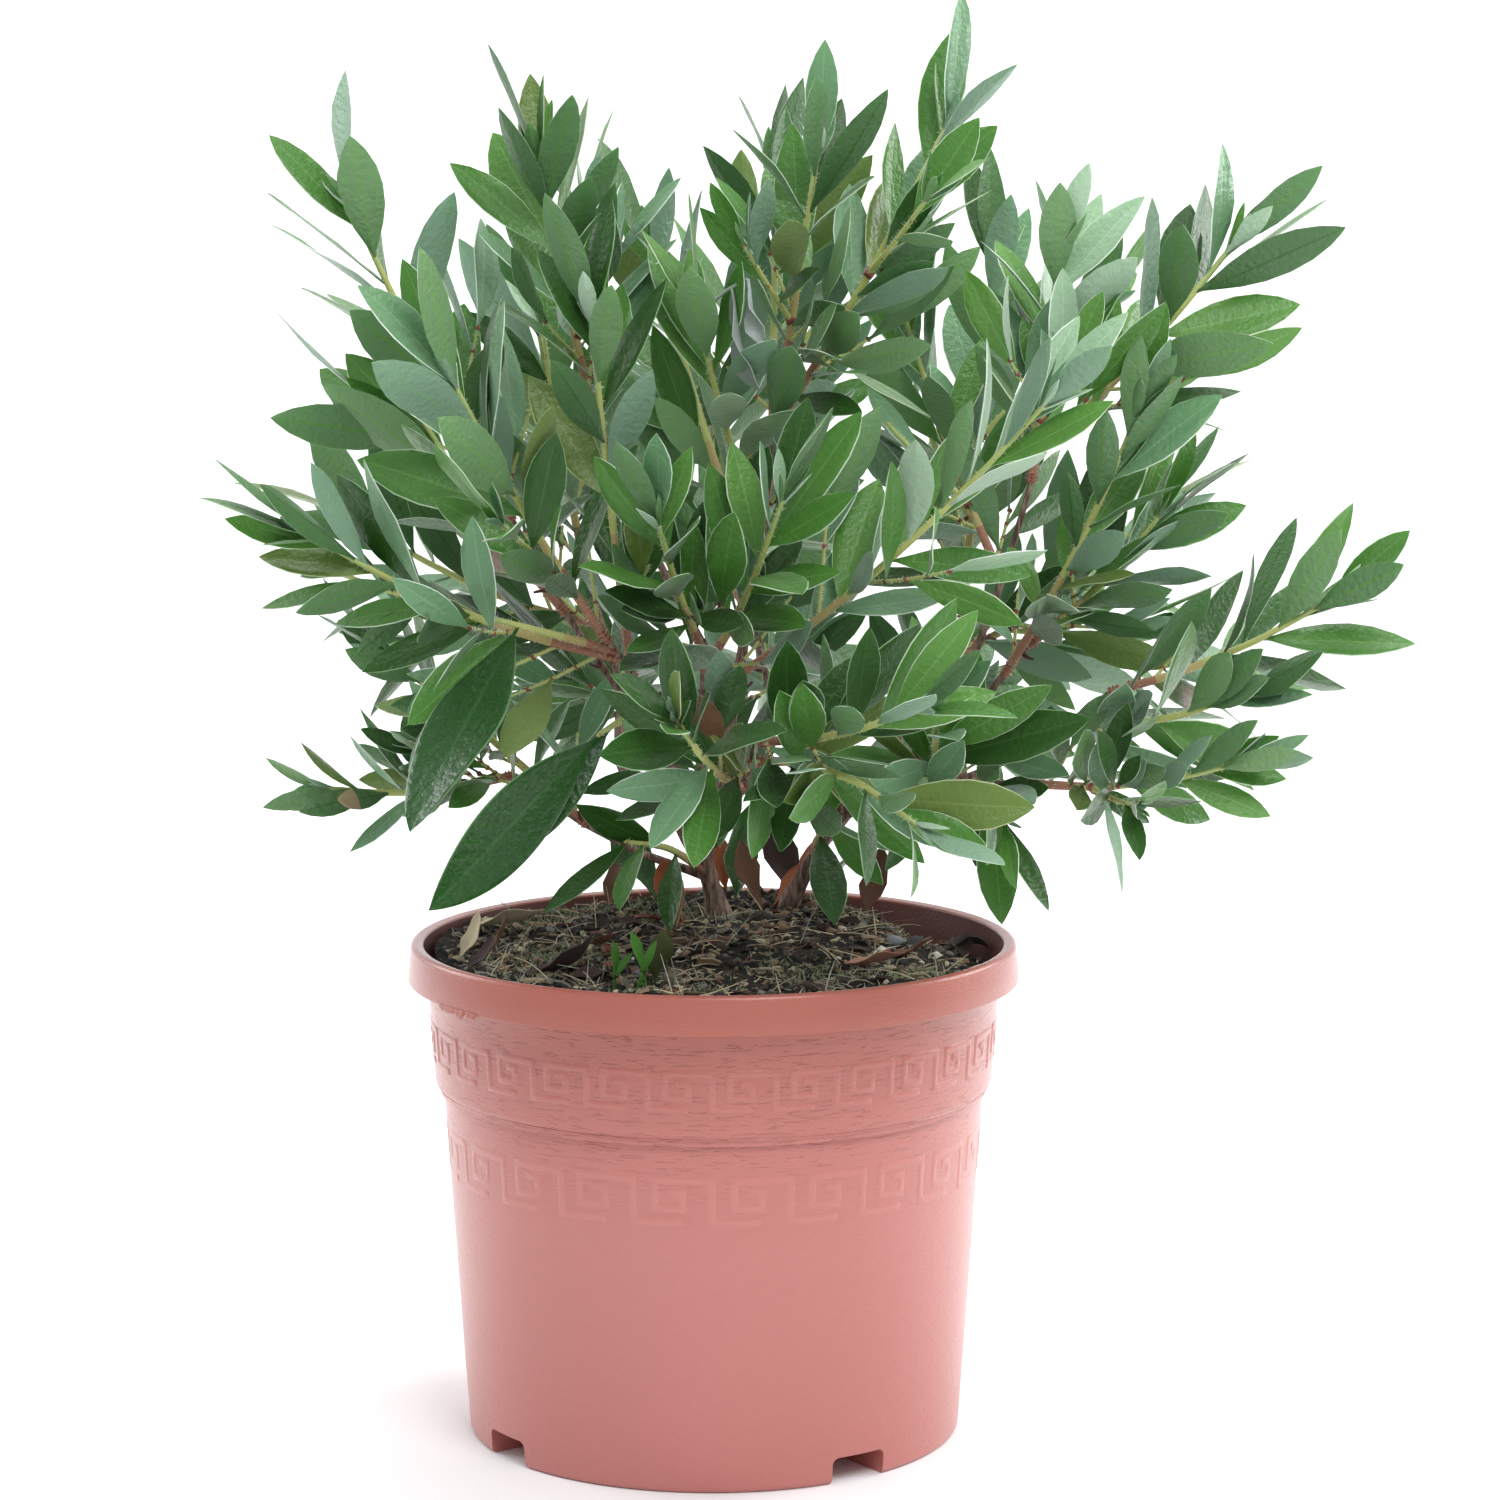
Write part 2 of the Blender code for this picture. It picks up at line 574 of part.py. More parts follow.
def leaf_points(root, direction, face, length):
    """Corner points of one leaf: root, two on each side, drooped tip and keel."""
    side = np.cross(direction, face)
    half = LEAF_SIDE_SHARE * LEAF_WIDTH * length / 2
    droop = LEAF_DROOP * length
    corners = (
        (0.0, 0.0, 0.0),
        (LEAF_LOW_SHARE, -half, 0.0),
        (LEAF_HIGH_SHARE, -half, -LEAF_SIDE_DROOP * droop),
        (1.0, 0.0, -droop),
        (LEAF_HIGH_SHARE, half, -LEAF_SIDE_DROOP * droop),
        (LEAF_LOW_SHARE, half, 0.0),
        (0.5, 0.0, LEAF_KEEL * length),
    )
    return np.array([root + direction * a * length + side * b + face * c for a, b, c in corners])


LEAF_FACES = (
    (6, 1, 0), (6, 2, 1), (6, 3, 2), (6, 4, 3), (6, 5, 4), (6, 0, 5),
    (0, 1, 5), (1, 4, 5), (1, 2, 4), (2, 3, 4),
)


def leaf_samples(points):
    """A leaf's corners with points between them, to test where it lies."""
    rim = points[:6]
    after = np.roll(rim, -1, axis=0)
    steps = max(2, round(np.linalg.norm(points[3] - points[0]) / SAMPLE_STEP))
    between = [rim + (after - rim) * k / steps for k in range(1, steps)]
    middle = [points[0] + (points[3] - points[0]) * k / steps for k in range(1, steps)]
    return np.vstack([points, *between, middle])


def blade_tree(points, faces):
    """A search tree of one piece's faces, to find what crosses it."""
    return BVHTree.FromPolygons([tuple(p) for p in points], faces)


class Space:
    """Where each shoot may put its twigs and leaves."""

    def __init__(self, stems, limb_paths, limb_radii_by_name):
        self.names = list(stems)
        self.points = []
        self.owner = []
        for index, name in enumerate(self.names):
            dense = [along(stems[name], t)[0] for t in np.linspace(0.0, 1.0, STEM_TESTS)]
            self.points += dense
            self.owner += [index] * len(dense)
        self.points = np.array(self.points)
        self.owner = np.array(self.owner)
        self.limb_points = []
        self.limb_reach = []
        for name, path in limb_paths.items():
            size = limb_radii_by_name[name]
            for t in np.linspace(0.0, 1.0, LIMB_TESTS):
                self.limb_points.append(along(path, t)[0])
                self.limb_reach.append(np.interp(t, np.linspace(0, 1, len(size)), size))
        self.limb_points = np.array(self.limb_points)
        self.limb_reach = np.array(self.limb_reach)

    def own(self, name, samples, gap):
        """Whether the samples lie nearer this shoot's stem than any other's."""
        index = self.names.index(name)
        apart = np.linalg.norm(samples[:, None, :] - self.points[None, :, :], axis=2)
        mine = apart[:, self.owner == index].min(axis=1)
        others = apart[:, self.owner != index].min(axis=1)
        return bool(np.all(mine + gap < others))

    def clear_of_limbs(self, root, direction, face, length, width):
        """Whether a flat blade stays off every limb."""
        side = np.cross(direction, face)
        offset = self.limb_points - root
        ahead = offset @ direction
        beside = np.abs(offset @ side)
        above = np.abs(offset @ face)
        reach = self.limb_reach + LIMB_GAP
        inside = (ahead > -reach) & (ahead < length + reach)
        inside &= (beside < width / 2 + reach) & (above < reach + LEAF_DROOP * length)
        return not bool(np.any(inside))

    def clear_of_pot(self, samples):
        """Whether the samples lie above the compost and the pot's rim."""
        for x, y, z in samples:
            reach = math.hypot(x, y)
            inside = RIM_INNER_RADIUS - RIM_MARGIN
            if reach < inside and z < soil_height(x, y) + SOIL_GAP:
                return False
            if inside <= reach < LIP_RADIUS + RIM_MARGIN and z < POT_HEIGHT + SOIL_GAP:
                return False
        return True

    def allows(self, name, root, direction, face, length, rivals):
        """Whether a leaf may grow here, clear of the other blades and twigs of its shoot."""
        points = leaf_points(root, direction, face, length)
        samples = leaf_samples(points)
        if not self.own(name, samples, LEAF_GAP):
            return False
        blade = blade_tree(points, LEAF_FACES)
        if any(blade.overlap(rival) for rival in rivals):
            return False
        if not self.clear_of_limbs(root, direction, face, length, LEAF_WIDTH * length):
            return False
        return self.clear_of_pot(samples)


def leaf_pose(axis, turn, slant, lift, roll):
    """Direction and upper face of a leaf that leaves a twig at a slant and is rolled on itself."""
    side, up = across(axis)
    outward = math.cos(turn) * side + math.sin(turn) * up
    direction = unit(math.cos(slant) * axis + math.sin(slant) * outward + np.array([0.0, 0.0, lift]))
    face = unit(axis - direction * np.dot(axis, direction) + 0.01 * outward)
    face = unit(face - direction * np.dot(face, direction))
    return direction, math.cos(roll) * face + math.sin(roll) * np.cross(direction, face)


def grow_leaves(space, shoot, path, count, size, turn, chance, rivals):
    """Leaves in a spiral up one twig, steeper and a little smaller towards its tip."""
    leaves = []
    for k in range(count):
        share = (k + 0.5) / (count - 0.5)
        spot, axis = along(path, BARE_SHARE + (1.0 - BARE_SHARE) * share)
        turn += math.radians(GOLDEN_ANGLE) + TURN_SPREAD * chance.uniform(-1.0, 1.0)
        slant = math.radians(LEAF_OPEN_ANGLE + (LEAF_TIP_ANGLE - LEAF_OPEN_ANGLE) * share ** SLANT_POWER)
        slant *= 1.0 + SLANT_SPREAD * chance.uniform(-1.0, 1.0)
        length = size * (LOW_LEAF + (1.0 - LOW_LEAF) * math.sin(math.pi * share ** SIZE_POWER))
        length *= 1.0 + LENGTH_SPREAD * chance.uniform(-1.0, 1.0)
        roll = math.radians(LEAF_ROLL) * chance.uniform(-1.0, 1.0)
        for attempt in range(LEAF_TRIES):
            lean = turn + TRY_TURN * attempt * (-1) ** attempt
            pose = leaf_pose(axis, lean, slant * (1.0 - TRY_LESS * attempt), shoot.lift, roll)
            reach = length * (1.0 - TRY_LESS * attempt)
            if space.allows(shoot.name, spot, *pose, reach, rivals):
                leaves.append((spot, *pose, reach))
                rivals.append(blade_tree(leaf_points(*leaves[-1]), LEAF_FACES))
                break
    return leaves


def grow_twigs(space, shoot, stem, chance):
    """Side twigs of a shoot, each with its path."""
    twigs = []
    for k in range(shoot.twigs):
        spot, axis = along(stem, TWIG_FIRST + TWIG_SPACING * k)
        side, up = across(axis)
        turn = chance.uniform(0.0, 2.0 * math.pi)
        outward = math.cos(turn) * side + math.sin(turn) * up
        slant = math.radians(TWIG_SLANT)
        direction = unit(math.cos(slant) * axis + math.sin(slant) * outward + np.array([0.0, 0.0, TWIG_LIFT]))
        reach = TWIG_SHARE * np.linalg.norm(stem[-1] - stem[0])
        reach *= 1.0 + TWIG_SPREAD * chance.uniform(-1.0, 1.0)
        end = spot + direction * reach
        samples = np.array([spot + direction * reach * t for t in TWIG_TESTS])
        if space.own(shoot.name, samples, TWIG_GAP) and space.clear_of_pot([end]):
            twigs.append(bent_path(spot, end, -TWIG_SAG, reach / 2))
    return twigs


def make_shoot(space, shoot, stem, limb_paths, limb_sizes):
    """One mass of foliage: stem, side twigs and leaves joined, cut clear of its limb."""
    chance = random.Random(shoot.seed)
    turn = chance.uniform(0.0, 2.0 * math.pi)
    twigs = grow_twigs(space, shoot, stem, chance)
    rivals = []
    leaves = []
    pieces = []
    for path in twigs:
        size = np.linspace(TWIG_RADIUS, SHOOT_TIP_RADIUS * TWIG_TIP_SHARE, len(path))
        pieces.append(tube("twig", path, size, SHOOT_SIDES, None, True))
        leaves += grow_leaves(space, shoot, path, TWIG_LEAVES, shoot.leaf * TWIG_LEAF_SHARE, turn, chance, rivals)
    leaves += grow_leaves(space, shoot, stem, shoot.leaves, shoot.leaf, turn, chance, rivals)
    pieces += [add_object("leaf", leaf_points(*leaf), LEAF_FACES) for leaf in leaves]
    size = np.linspace(SHOOT_BASE_RADIUS, SHOOT_TIP_RADIUS, len(stem))
    item = tube(shoot.name, stem, size, SHOOT_SIDES, LEAF_LOOK, True)
    combine(item, pieces, "UNION")
    combine(item, [grown("cut", limb_paths[shoot.parent], limb_sizes[shoot.parent], LIMB_SIDES)], "DIFFERENCE")


def make_foliage(limb_paths, limb_sizes):
    """Every shoot of the crown."""
    stems = {}
    for shoot in SHOOTS:
        start, _ = along(limb_paths[shoot.parent], shoot.start)
        end = place(*shoot.place)
        stems[shoot.name] = bent_path(start, end, shoot.bow, STEM_STEP)
    space = Space(stems, limb_paths, limb_sizes)
    for shoot in SHOOTS:
        make_shoot(space, shoot, stems[shoot.name], limb_paths, limb_sizes)


def main():
    """Build the pot, its compost and the shrub."""
    clear_scene()
    make_pot()
    make_soil()
    limb_paths, limb_sizes = make_limbs()
    make_foliage(limb_paths, limb_sizes)


main()
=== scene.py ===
"""The looks of a young bottlebrush shrub in a round plastic nursery pot.

The crown grows from the same limbs and shoots as the solids, by the same seeded
rule, and is carried on to finer twigs and leaves. Sizes are in millimetres until
a mesh is made. Origin: centre of the pot's flat underside, +Z up, -Y in front.
"""

import json
import math
import random
from collections import namedtuple

import bpy
import numpy as np
from mathutils import Matrix, Vector, noise
from mathutils.bvhtree import BVHTree

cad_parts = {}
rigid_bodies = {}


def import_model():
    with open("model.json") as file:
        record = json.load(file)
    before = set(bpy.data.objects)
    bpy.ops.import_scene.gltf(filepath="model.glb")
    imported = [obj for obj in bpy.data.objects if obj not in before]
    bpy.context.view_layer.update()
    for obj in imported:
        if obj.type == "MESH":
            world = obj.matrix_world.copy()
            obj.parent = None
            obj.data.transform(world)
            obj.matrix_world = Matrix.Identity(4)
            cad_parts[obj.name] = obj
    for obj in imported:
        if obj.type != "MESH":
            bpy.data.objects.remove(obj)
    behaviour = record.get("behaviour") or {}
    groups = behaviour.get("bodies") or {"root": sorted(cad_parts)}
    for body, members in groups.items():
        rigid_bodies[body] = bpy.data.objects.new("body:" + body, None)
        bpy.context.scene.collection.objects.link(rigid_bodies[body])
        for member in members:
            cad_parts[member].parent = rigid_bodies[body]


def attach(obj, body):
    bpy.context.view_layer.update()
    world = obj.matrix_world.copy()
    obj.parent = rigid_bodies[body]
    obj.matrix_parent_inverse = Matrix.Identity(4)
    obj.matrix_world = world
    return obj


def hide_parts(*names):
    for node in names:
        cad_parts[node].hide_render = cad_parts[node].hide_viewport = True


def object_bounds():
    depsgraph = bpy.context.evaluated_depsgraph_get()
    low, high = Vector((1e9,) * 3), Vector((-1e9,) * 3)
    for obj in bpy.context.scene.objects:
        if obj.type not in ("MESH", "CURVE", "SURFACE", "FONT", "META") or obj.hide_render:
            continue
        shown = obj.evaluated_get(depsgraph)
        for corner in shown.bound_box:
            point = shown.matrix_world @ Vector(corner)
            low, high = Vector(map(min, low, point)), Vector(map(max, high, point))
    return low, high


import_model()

Limb = namedtuple("Limb", "name parent start place girth bow")
Shoot = namedtuple("Shoot", "name parent start place bow leaf leaves twigs lift seed fine")
Leaf = namedtuple("Leaf", "root direction face length share kind")
Blade = namedtuple("Blade", "rows columns under faces parts depth")
Form = namedtuple("Form", "width fold arch twist wave phase curl")
Look = namedtuple("Look", "top rib margin under")

CAD_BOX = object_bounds()
MM = 0.001
CLEARANCE = 0.3
TURN = 2.0 * math.pi
# A direction that rises more than this has no safe upward side of its own
STEEP = 0.95

# Pot
POT_HEIGHT = 179.0
LIP_RADIUS = 110.0
LIP_HEIGHT = 13.8
LIP_TOP_RADIUS = 108.9
RIM_INNER_RADIUS = 104.3
RIM_INNER_DROP = 0.6
LIP_ROUNDING = 2.0
TIER_TOP_RADIUS = 102.8
TIER_LOW_RADIUS = 100.5
TIER_LOW_HEIGHT = 130.0
LEDGE_HEIGHT = 125.0
LEDGE_RADIUS = 97.3
FOOT_RADIUS = 89.1
FOOT_ROUNDING = 2.0
WALL = 1.8
FLOOR_THICKNESS = 2.4
POT_SIDES = 160
ARC_STEPS = 5
SHARP_ANGLE = 40.0
WALL_HEIGHTS = (30.0, 60.0, 90.0, 120.0)
TIER_HEIGHTS = (142.0, 154.0)
TIER_ROUNDING = 2.8
TIER_ARC = 50.0
RING_RADIUS = 98.7
RING_HEIGHT = 2.7
RING_LEAN = 0.2
GROOVE_DEPTH = 0.5
GROOVE_DROPS = (1.6, 0.2)
BEAD_RADIUS = 0.38
BEAD_PROUD = 0.6
BEAD_SEAT = 2.2
BEAD_ARC = 60.0
LIP_FILLET = 0.5
LIP_EDGE = 0.6
LIP_WAIST = 0.5
LIP_WAIST_HEIGHT = 6.0
RIM_ROUNDING = 1.0

# Foot notches and the raised channels behind them
NOTCH_COUNT = 4
NOTCH_WIDTH = 22.0
NOTCH_HEIGHT = 9.5
NOTCH_ROUNDING = 2.5
NOTCH_FIRST_AZIMUTH = 35.0
CHANNEL_INNER_RADIUS = 52.0
CHANNEL_WALL = 2.0
DRAIN_WIDTH = 9.0
DRAIN_INSET = 4.0
CUT_REACH = 120.0
CUT_OVERRUN = 5.0

# Torn flash under the lip
FLASH_AZIMUTHS = (-60.0, -47.0)
FLASH_STEP = 0.4
FLASH_DROP = 2.4
FLASH_THICKNESS = 0.35
FLASH_SUNK = 0.5
FLASH_PROUD = 0.15
FLASH_ROOT = 0.9
FLASH_RAGGED = 0.9
FLASH_SEED = 3.0

# Raised key patterns on the wall: height of the lowest line, size, count round the pot, width
# and height of the line; a spiral's route is in shares of its pitch and of the band's height
KEY_STEP = 3.0
KEY_SUNK = 0.25
KEY_SHARP_ANGLE = 75.0
KEY_SLOPE = 0.95
UPPER_KEY = {"bottom": 138.3, "height": 12.4, "count": 29, "line": 1.6, "proud": 0.36}
LOWER_KEY = {"bottom": 97.5, "height": 15.0, "count": 22, "line": 2.0, "proud": 0.2}
KEY_ROUTE = (
    (0.46, 0.73), (0.63, 0.73), (0.63, 0.32), (0.28, 0.32), (0.28, 1.0), (1.0, 1.0), (1.0, 0.0), (1.61, 0.0),
)

# Compost
SOIL_EDGE_HEIGHT = 168.0
SOIL_CROWN_HEIGHT = 181.0
SOIL_PATCH_CENTRE = (13.0, 38.0)
SOIL_PATCH_RADIUS = 36.0
SOIL_DIP_AZIMUTH = 140.0
SOIL_DIP = 5.0
SOIL_WALL_GAP = 0.5
SOIL_BANK = 9.0
SOIL_BANK_POWER = 3.0
SOIL_OPEN_AZIMUTH = 130.0
SOIL_RINGS = 70
SOIL_SIDES = 260
# Height and width of its clods, from large to small
SOIL_CLODS = ((2.4, 13.0), (1.3, 5.0), (0.6, 1.9))

# Limbs
LIMB_TAPER = 0.62
LIMB_STEP = 24.0
STEM_STEP = 26.0
FLARE = 0.45
FLARE_HEIGHT = 6.0
TRUNK_SHARES = (0.0, 0.1, 0.25, 0.6, 1.0)
BARK_STEP = 1.6
BARK_SIDES = 20
BARK_PASSES = 8
BARK_RELIEF = 0.12
BARK_RIDGES = 2.2
BARK_GRAIN = 0.16
BARK_DETAIL = 2.3
BARK_OFFSET = 7.0
BOUGH_SWELL = 0.35
BOUGH_SWELL_LENGTH = 3.5
TRUNK_SUNK = 1.0
SPUR_SEED = 300
SPUR_SHARES = (0.4, 0.68, 0.94)
SPUR_SPREAD = 0.05
SPUR_LENGTHS = (4.0, 10.0)
SPUR_LEAN = (0.2, 1.0)
SPUR_BOW = (-0.5, 0.5)
SPUR_SUNK = 0.5
SPUR_RADIUS = 0.85
SPUR_TAPER = 0.6
SPUR_SIDES = 6

# Shoots and leaves, as in the solids
GOLDEN_ANGLE = 137.5
SHOOT_BASE_RADIUS = 1.55
SHOOT_TIP_RADIUS = 0.8
TWIG_RADIUS = 1.05
TWIG_SLANT = 46.0
TWIG_SHARE = 0.45
TWIG_FIRST = 0.28
TWIG_SPACING = 0.24
TWIG_LIFT = 0.2
TWIG_SPREAD = 0.15
TWIG_SAG = 1.0
TWIG_TESTS = (0.3, 0.5, 0.75, 1.0)
LEAF_WIDTH = 0.35
LEAF_KEEL = 0.022
LEAF_LOW_SHARE = 0.33
LEAF_HIGH_SHARE = 0.70
LEAF_SIDE_SHARE = 0.85
LEAF_SIDE_DROOP = 0.3
LEAF_DROOP = 0.05
LEAF_OPEN_ANGLE = 68.0
LEAF_TIP_ANGLE = 16.0
LEAF_ROLL = 55.0
FACE_NUDGE = 0.01
LEAF_GAP = 0.6
SAMPLE_STEP = 15.0
STEM_TESTS = 24
LIMB_TESTS = 40
LIMB_GAP = 0.8
SOIL_GAP = 2.5
RIM_MARGIN = 5.0
LEAF_TRIES = 5
TRY_TURN = 0.45
TRY_LESS = 0.06
BARE_SHARE = 0.14
TURN_SPREAD = 0.3
SLANT_POWER = 1.4
SLANT_SPREAD = 0.18
LOW_LEAF = 0.86
SIZE_POWER = 0.8
LENGTH_SPREAD = 0.15
TWIG_GAP = 2.0
TWIG_LEAVES = 4
TWIG_LEAF_SHARE = 0.85

# Finer growth that only the looks carry: twigs, leaves between the large ones, tufts, collars
FINE_TWIG_SHARE = 0.26
FINE_FIRST = 0.06
FINE_SPACING = 0.13
FINE_SLANT = 50.0
FINE_REACH = 0.28
FINE_SPREAD = 0.25
FINE_LEAVES = 4
FINE_GAP = -12.0
FILL_LEAF_SHARE = 0.4
FILL_LEAF = 1.12
TUFT_LEAVES = 4
TUFT_LEAF = 0.46
TUFT_SLANT = 34.0
TUFT_SHRINK = 0.5
TUFT_STEP = 3.0
TUFT_SLANTS = (0.8, 1.2)
TUFT_LENGTHS = (0.85, 1.15)
FINE_RADII = (0.744, 0.496)
STEM_GROWTH = 1.15
STEM_SIDES = 7
STEM_PIECE = 3.0
BUD_WIDTH = 1.25
BUD_LENGTH = 2.2
LEAF_BASE_RADIUS = 1.15
LEAF_BASE_LENGTH = 1.7
COLLAR_RINGS = 3
COLLAR_FIRST = 0.01
COLLAR_STEP = 0.016
COLLAR_RADIUS = 2.5
COLLAR_LENGTH = 1.3
FINE_SEED = 1000
BOX_MARGIN = 1.0
LARGE_LEAF = 80.0
LARGE_GROWTH = 1.1
FINE_FLOOR = 222.0

# Hairs of the twigs: their number, size and slant, and the corners of their foot
DOWN_SEED = 400
DOWN_PER_MM = 2.0
DOWN_LENGTHS = (0.8, 1.7)
DOWN_LEAN = 0.5
DOWN_SUNK = 0.9
DOWN_RADIUS = 0.1
DOWN_CORNERS = ((1.0, 0.0), (-0.5, 0.87), (-0.5, -0.87))

# The withered twig at the tip of a shoot: where it ends, and its leaves, each with its
# share of the way along, heading, length and twist
WITHERED = {"shoot_top_centre": (20, 36, 416)}
WITHERED_LEAVES = ((1.0, 60.0, 24.0, 2.2), (0.7, 96.0, 38.0, 0.4))
WITHERED_DIP = 78.0
WITHERED_RADII = (0.8, 0.5)
WITHERED_SIDES = 6
WITHERED_BOW = 2.0
WITHERED_STEP = 5.0

# How leaves are formed: a living leaf's values each lie between two, and a young one has no curl
GROWN_FORM = Form((0.86, 1.16), (0.05, 0.2), (-0.28, 0.3), (-0.3, 0.3), (0.0, 0.09), (0.0, 1.0), (-0.08, 0.2))
YOUNG_FORM = Form((0.86, 1.16), (0.2, 0.5), (-0.3, 0.0), (-0.3, 0.3), (0.0, 0.09), (0.0, 1.0), None)
WITHERED_FORM = Form(width=0.32, fold=0.45, arch=-0.25, twist=0.0, wave=0.3, phase=0.1, curl=0.7)
FALLEN_FORM = Form(width=0.42, fold=0.35, arch=0.2, twist=0.5, wave=0.2, phase=0.3, curl=0.0)
SEEDLING_FORM = Form(width=0.42, fold=0.2, arch=0.1, twist=0.1, wave=0.05, phase=0.2, curl=0.1)

# Litter on the compost: how far out it lies as a share of the inner radius, then each kind
LITTER_SEED = 77
LITTER_REACH = 0.97
CHIP_REACH = 0.93
PERLITE_REACH = 0.9
INNER_REACH = 0.85
CRUMBS = 4000
CRUMB_SIZE = 0.4
CRUMB_SPREAD = 2.4
CRUMB_POWER = 3
CRUMB_SCALES = ((0.7, 1.3), (0.7, 1.3), (0.45, 0.9))
CRUMB_UNEVEN = (0.8, 1.2)
CRUMB_TILT = 40.0
CHIPS = 230
CHIP_SIZES = (1.5, 7.5)
CHIP_CORNERS = 6
CHIP_RAGGED = (0.55, 1.0)
CHIP_WIDTH = 0.5
CHIP_THICKNESS = 0.09
CHIP_BEVEL = 0.9
CHIP_TILT = 65.0
CHIP_LIFT = 0.5
STRAWS = 3000
STRAW_LENGTH = 2.0
STRAW_SPREAD = 15.0
STRAW_POWER = 2.5
STRAW_RADII = (0.16, 0.36)
STRAW_TIP = 0.1
STRAW_BOW = (-0.02, 0.1)
STRAW_WALL_GAP = 1.5
STRAW_PATCH = 22.0
STRAW_CROWDED = 0.08
STRAW_STRAYS = 0.16
UPRIGHT_EVERY = 8
UPRIGHT_TILTS = (25.0, 80.0)
LYING_TILTS = (0.0, 20.0)
LITTER_LIFT = 0.3
MOSS_PATCHES = 12
MOSS_SHREDS = 5200
MOSS_SPREAD = (10.0, 8.0)
MOSS_RADII = (0.2, 0.5)
MOSS_LENGTHS = (0.8, 2.8)
MOSS_WALL_GAP = 3.0
MOSS_UPRIGHT = 0.7
PERLITE = 24
PERLITE_SIZES = (0.6, 1.3)
SMALL_FALLEN = 12
SMALL_FALLEN_TILT = 8.0
SMALL_FALLEN_LENGTHS = (9.0, 20.0)
SMALL_FALLEN_CURLS = (-0.9, 1.4)
FALLEN_LIFT = 0.8
SEEDLING_SUNK = 0.5
SEEDLING_LEAN = 2.0
SEEDLING_STALK = 0.5
SEEDLING_RADIUS = 0.45
SEEDLING_SIDES = 6
# Each leaf of a seedling: its turn and slant, and its length as a share of the seedling's height
SEEDLING_LEAVES = ((0.4, 6.0, 0.85), (2.5, 32.0, 0.65), (4.6, 58.0, 0.45))
CRUMB_LOOKS = (("crumb_black", 6), ("crumb_brown", 4), ("crumb_tan", 3), ("crumb_grey", 3), ("crumb_pale", 2))
CHIP_LOOKS = (("chip_dark", 5), ("chip_red", 1), ("chip_tan", 2), ("crumb_grey", 2))
STRAW_LOOKS = (("straw_pale", 3), ("straw_brown", 3), ("straw_grey", 3))
MOSS_LOOKS = (("moss_green", 4), ("moss_dark", 2), ("straw_grey", 1))
FALLEN_LOOKS = (("fallen_brown", 3), ("fallen_dark", 3), ("fallen_orange", 1))

# Things on the compost: stones (x, y, size, finish); fallen leaves (x, y, heading,
# tilt, length, curl, finish); seedlings (x, y, height)
STONES = (
    (65, 2, 4.2, "stone_grey"), (73, 8, 3.6, "stone_dark"), (60, -8, 2.6, "stone_white"),
    (80, 2, 2.6, "stone_white"), (-12, -28, 2.6, "stone_white"), (-25, -56, 3.2, "stone_grey"),
    (-60, 20, 2.4, "stone_grey"), (-30, 70, 3.0, "stone_grey"),
)
FALLEN = (
    (-90, -20, 150, 35, 20, 1.3, "straw_pale"), (-84, -28, 120, 40, 22, 1.2, "fallen_brown"),
    (-92, 30, 75, 12, 32, 0.5, "straw_pale"), (-86, -44, 150, 15, 20, 1.2, "fallen_dark"),
    (-70, -48, 88, 10, 34, 1.4, "fallen_dark"), (-58, -36, 75, 8, 26, -0.8, "fallen_dark"),
    (-16, 18, 170, 62, 22, 0.5, "fallen_orange"), (4, 70, 200, 50, 26, 0.5, "fallen_orange"),
    (-40, 62, 160, 50, 24, 0.6, "fallen_brown"), (44, -40, 92, 8, 24, 0.5, "fallen_pink"),
    (-20, -62, 20, 60, 22, 0.5, "fallen_olive"), (82, 20, 100, 28, 20, -0.9, "stone_dark"),
    (92, 12, 190, 35, 20, -0.7, "fallen_dark"), (62, -16, 120, 10, 20, 0.8, "fallen_brown"),
    (-13, 10, 205, 58, 26, 0.5, "fallen_orange"), (22, 52, 110, 52, 34, 0.6, "fallen_orange"),
    (18, 40, 250, 66, 30, 0.7, "fallen_brown"), (30, 62, 215, 60, 32, 0.4, "fallen_dark"),
    (38, 58, 130, 55, 28, -0.5, "leaf_deep_top"), (8, 60, 160, 62, 38, 0.4, "leaf_deep_top"),
    (-20, 50, 230, 48, 36, 0.4, "leaf_deep_top"), (56, 40, 160, 40, 30, 0.9, "fallen_brown"),
)
SEEDLINGS = ((-34, -74, 15), (-22, -78, 18), (-26, -82, 7))

# Camera: its distance, height, side shift and pitch, and a long lens
CAMERA_DISTANCE = 1514.0
CAMERA_HEIGHT = 459.0
CAMERA_SIDE = 13.1
CAMERA_PITCH = 7.96
CAMERA_LENS = 102.4
SENSOR = 36.0
FLOOR_SIZE = 3.0
FLOOR_SWEEP = 1.2
FLOOR_SIDE = 1.5
FLOOR_COLOUR = (0.9, 0.9, 0.9, 1.0)
FLOOR_ROUGHNESS = 0.9
SWEEP_STEPS = 16
WALL_TOP = 4.0
CAMERA_SEES = 50.0
WORLD_STRENGTH = 0.72
WORLD_COLOUR = (0.93, 0.965, 1.0, 1.0)

# Lamps: name, place and aim in metres, side in metres and power in watts
LAMPS = (
    ("key", (0.5, -1.1, 1.5), (0.0, 0.0, 0.2), 0.8, 15.0),
    ("left_side", (-1.2, 0.6, 0.7), (0.0, 0.0, 0.1), 0.7, 7.0),
    ("right_side", (1.2, 0.5, 0.7), (0.0, 0.0, 0.1), 0.7, 12.0),
    ("top", (0.1, 0.5, 1.9), (0.0, 0.0, 0.4), 1.0, 18.0),
    ("wall", (0.0, 1.6, 2.4), (0.0, 3.8, 1.0), 2.5, 85.0),
)

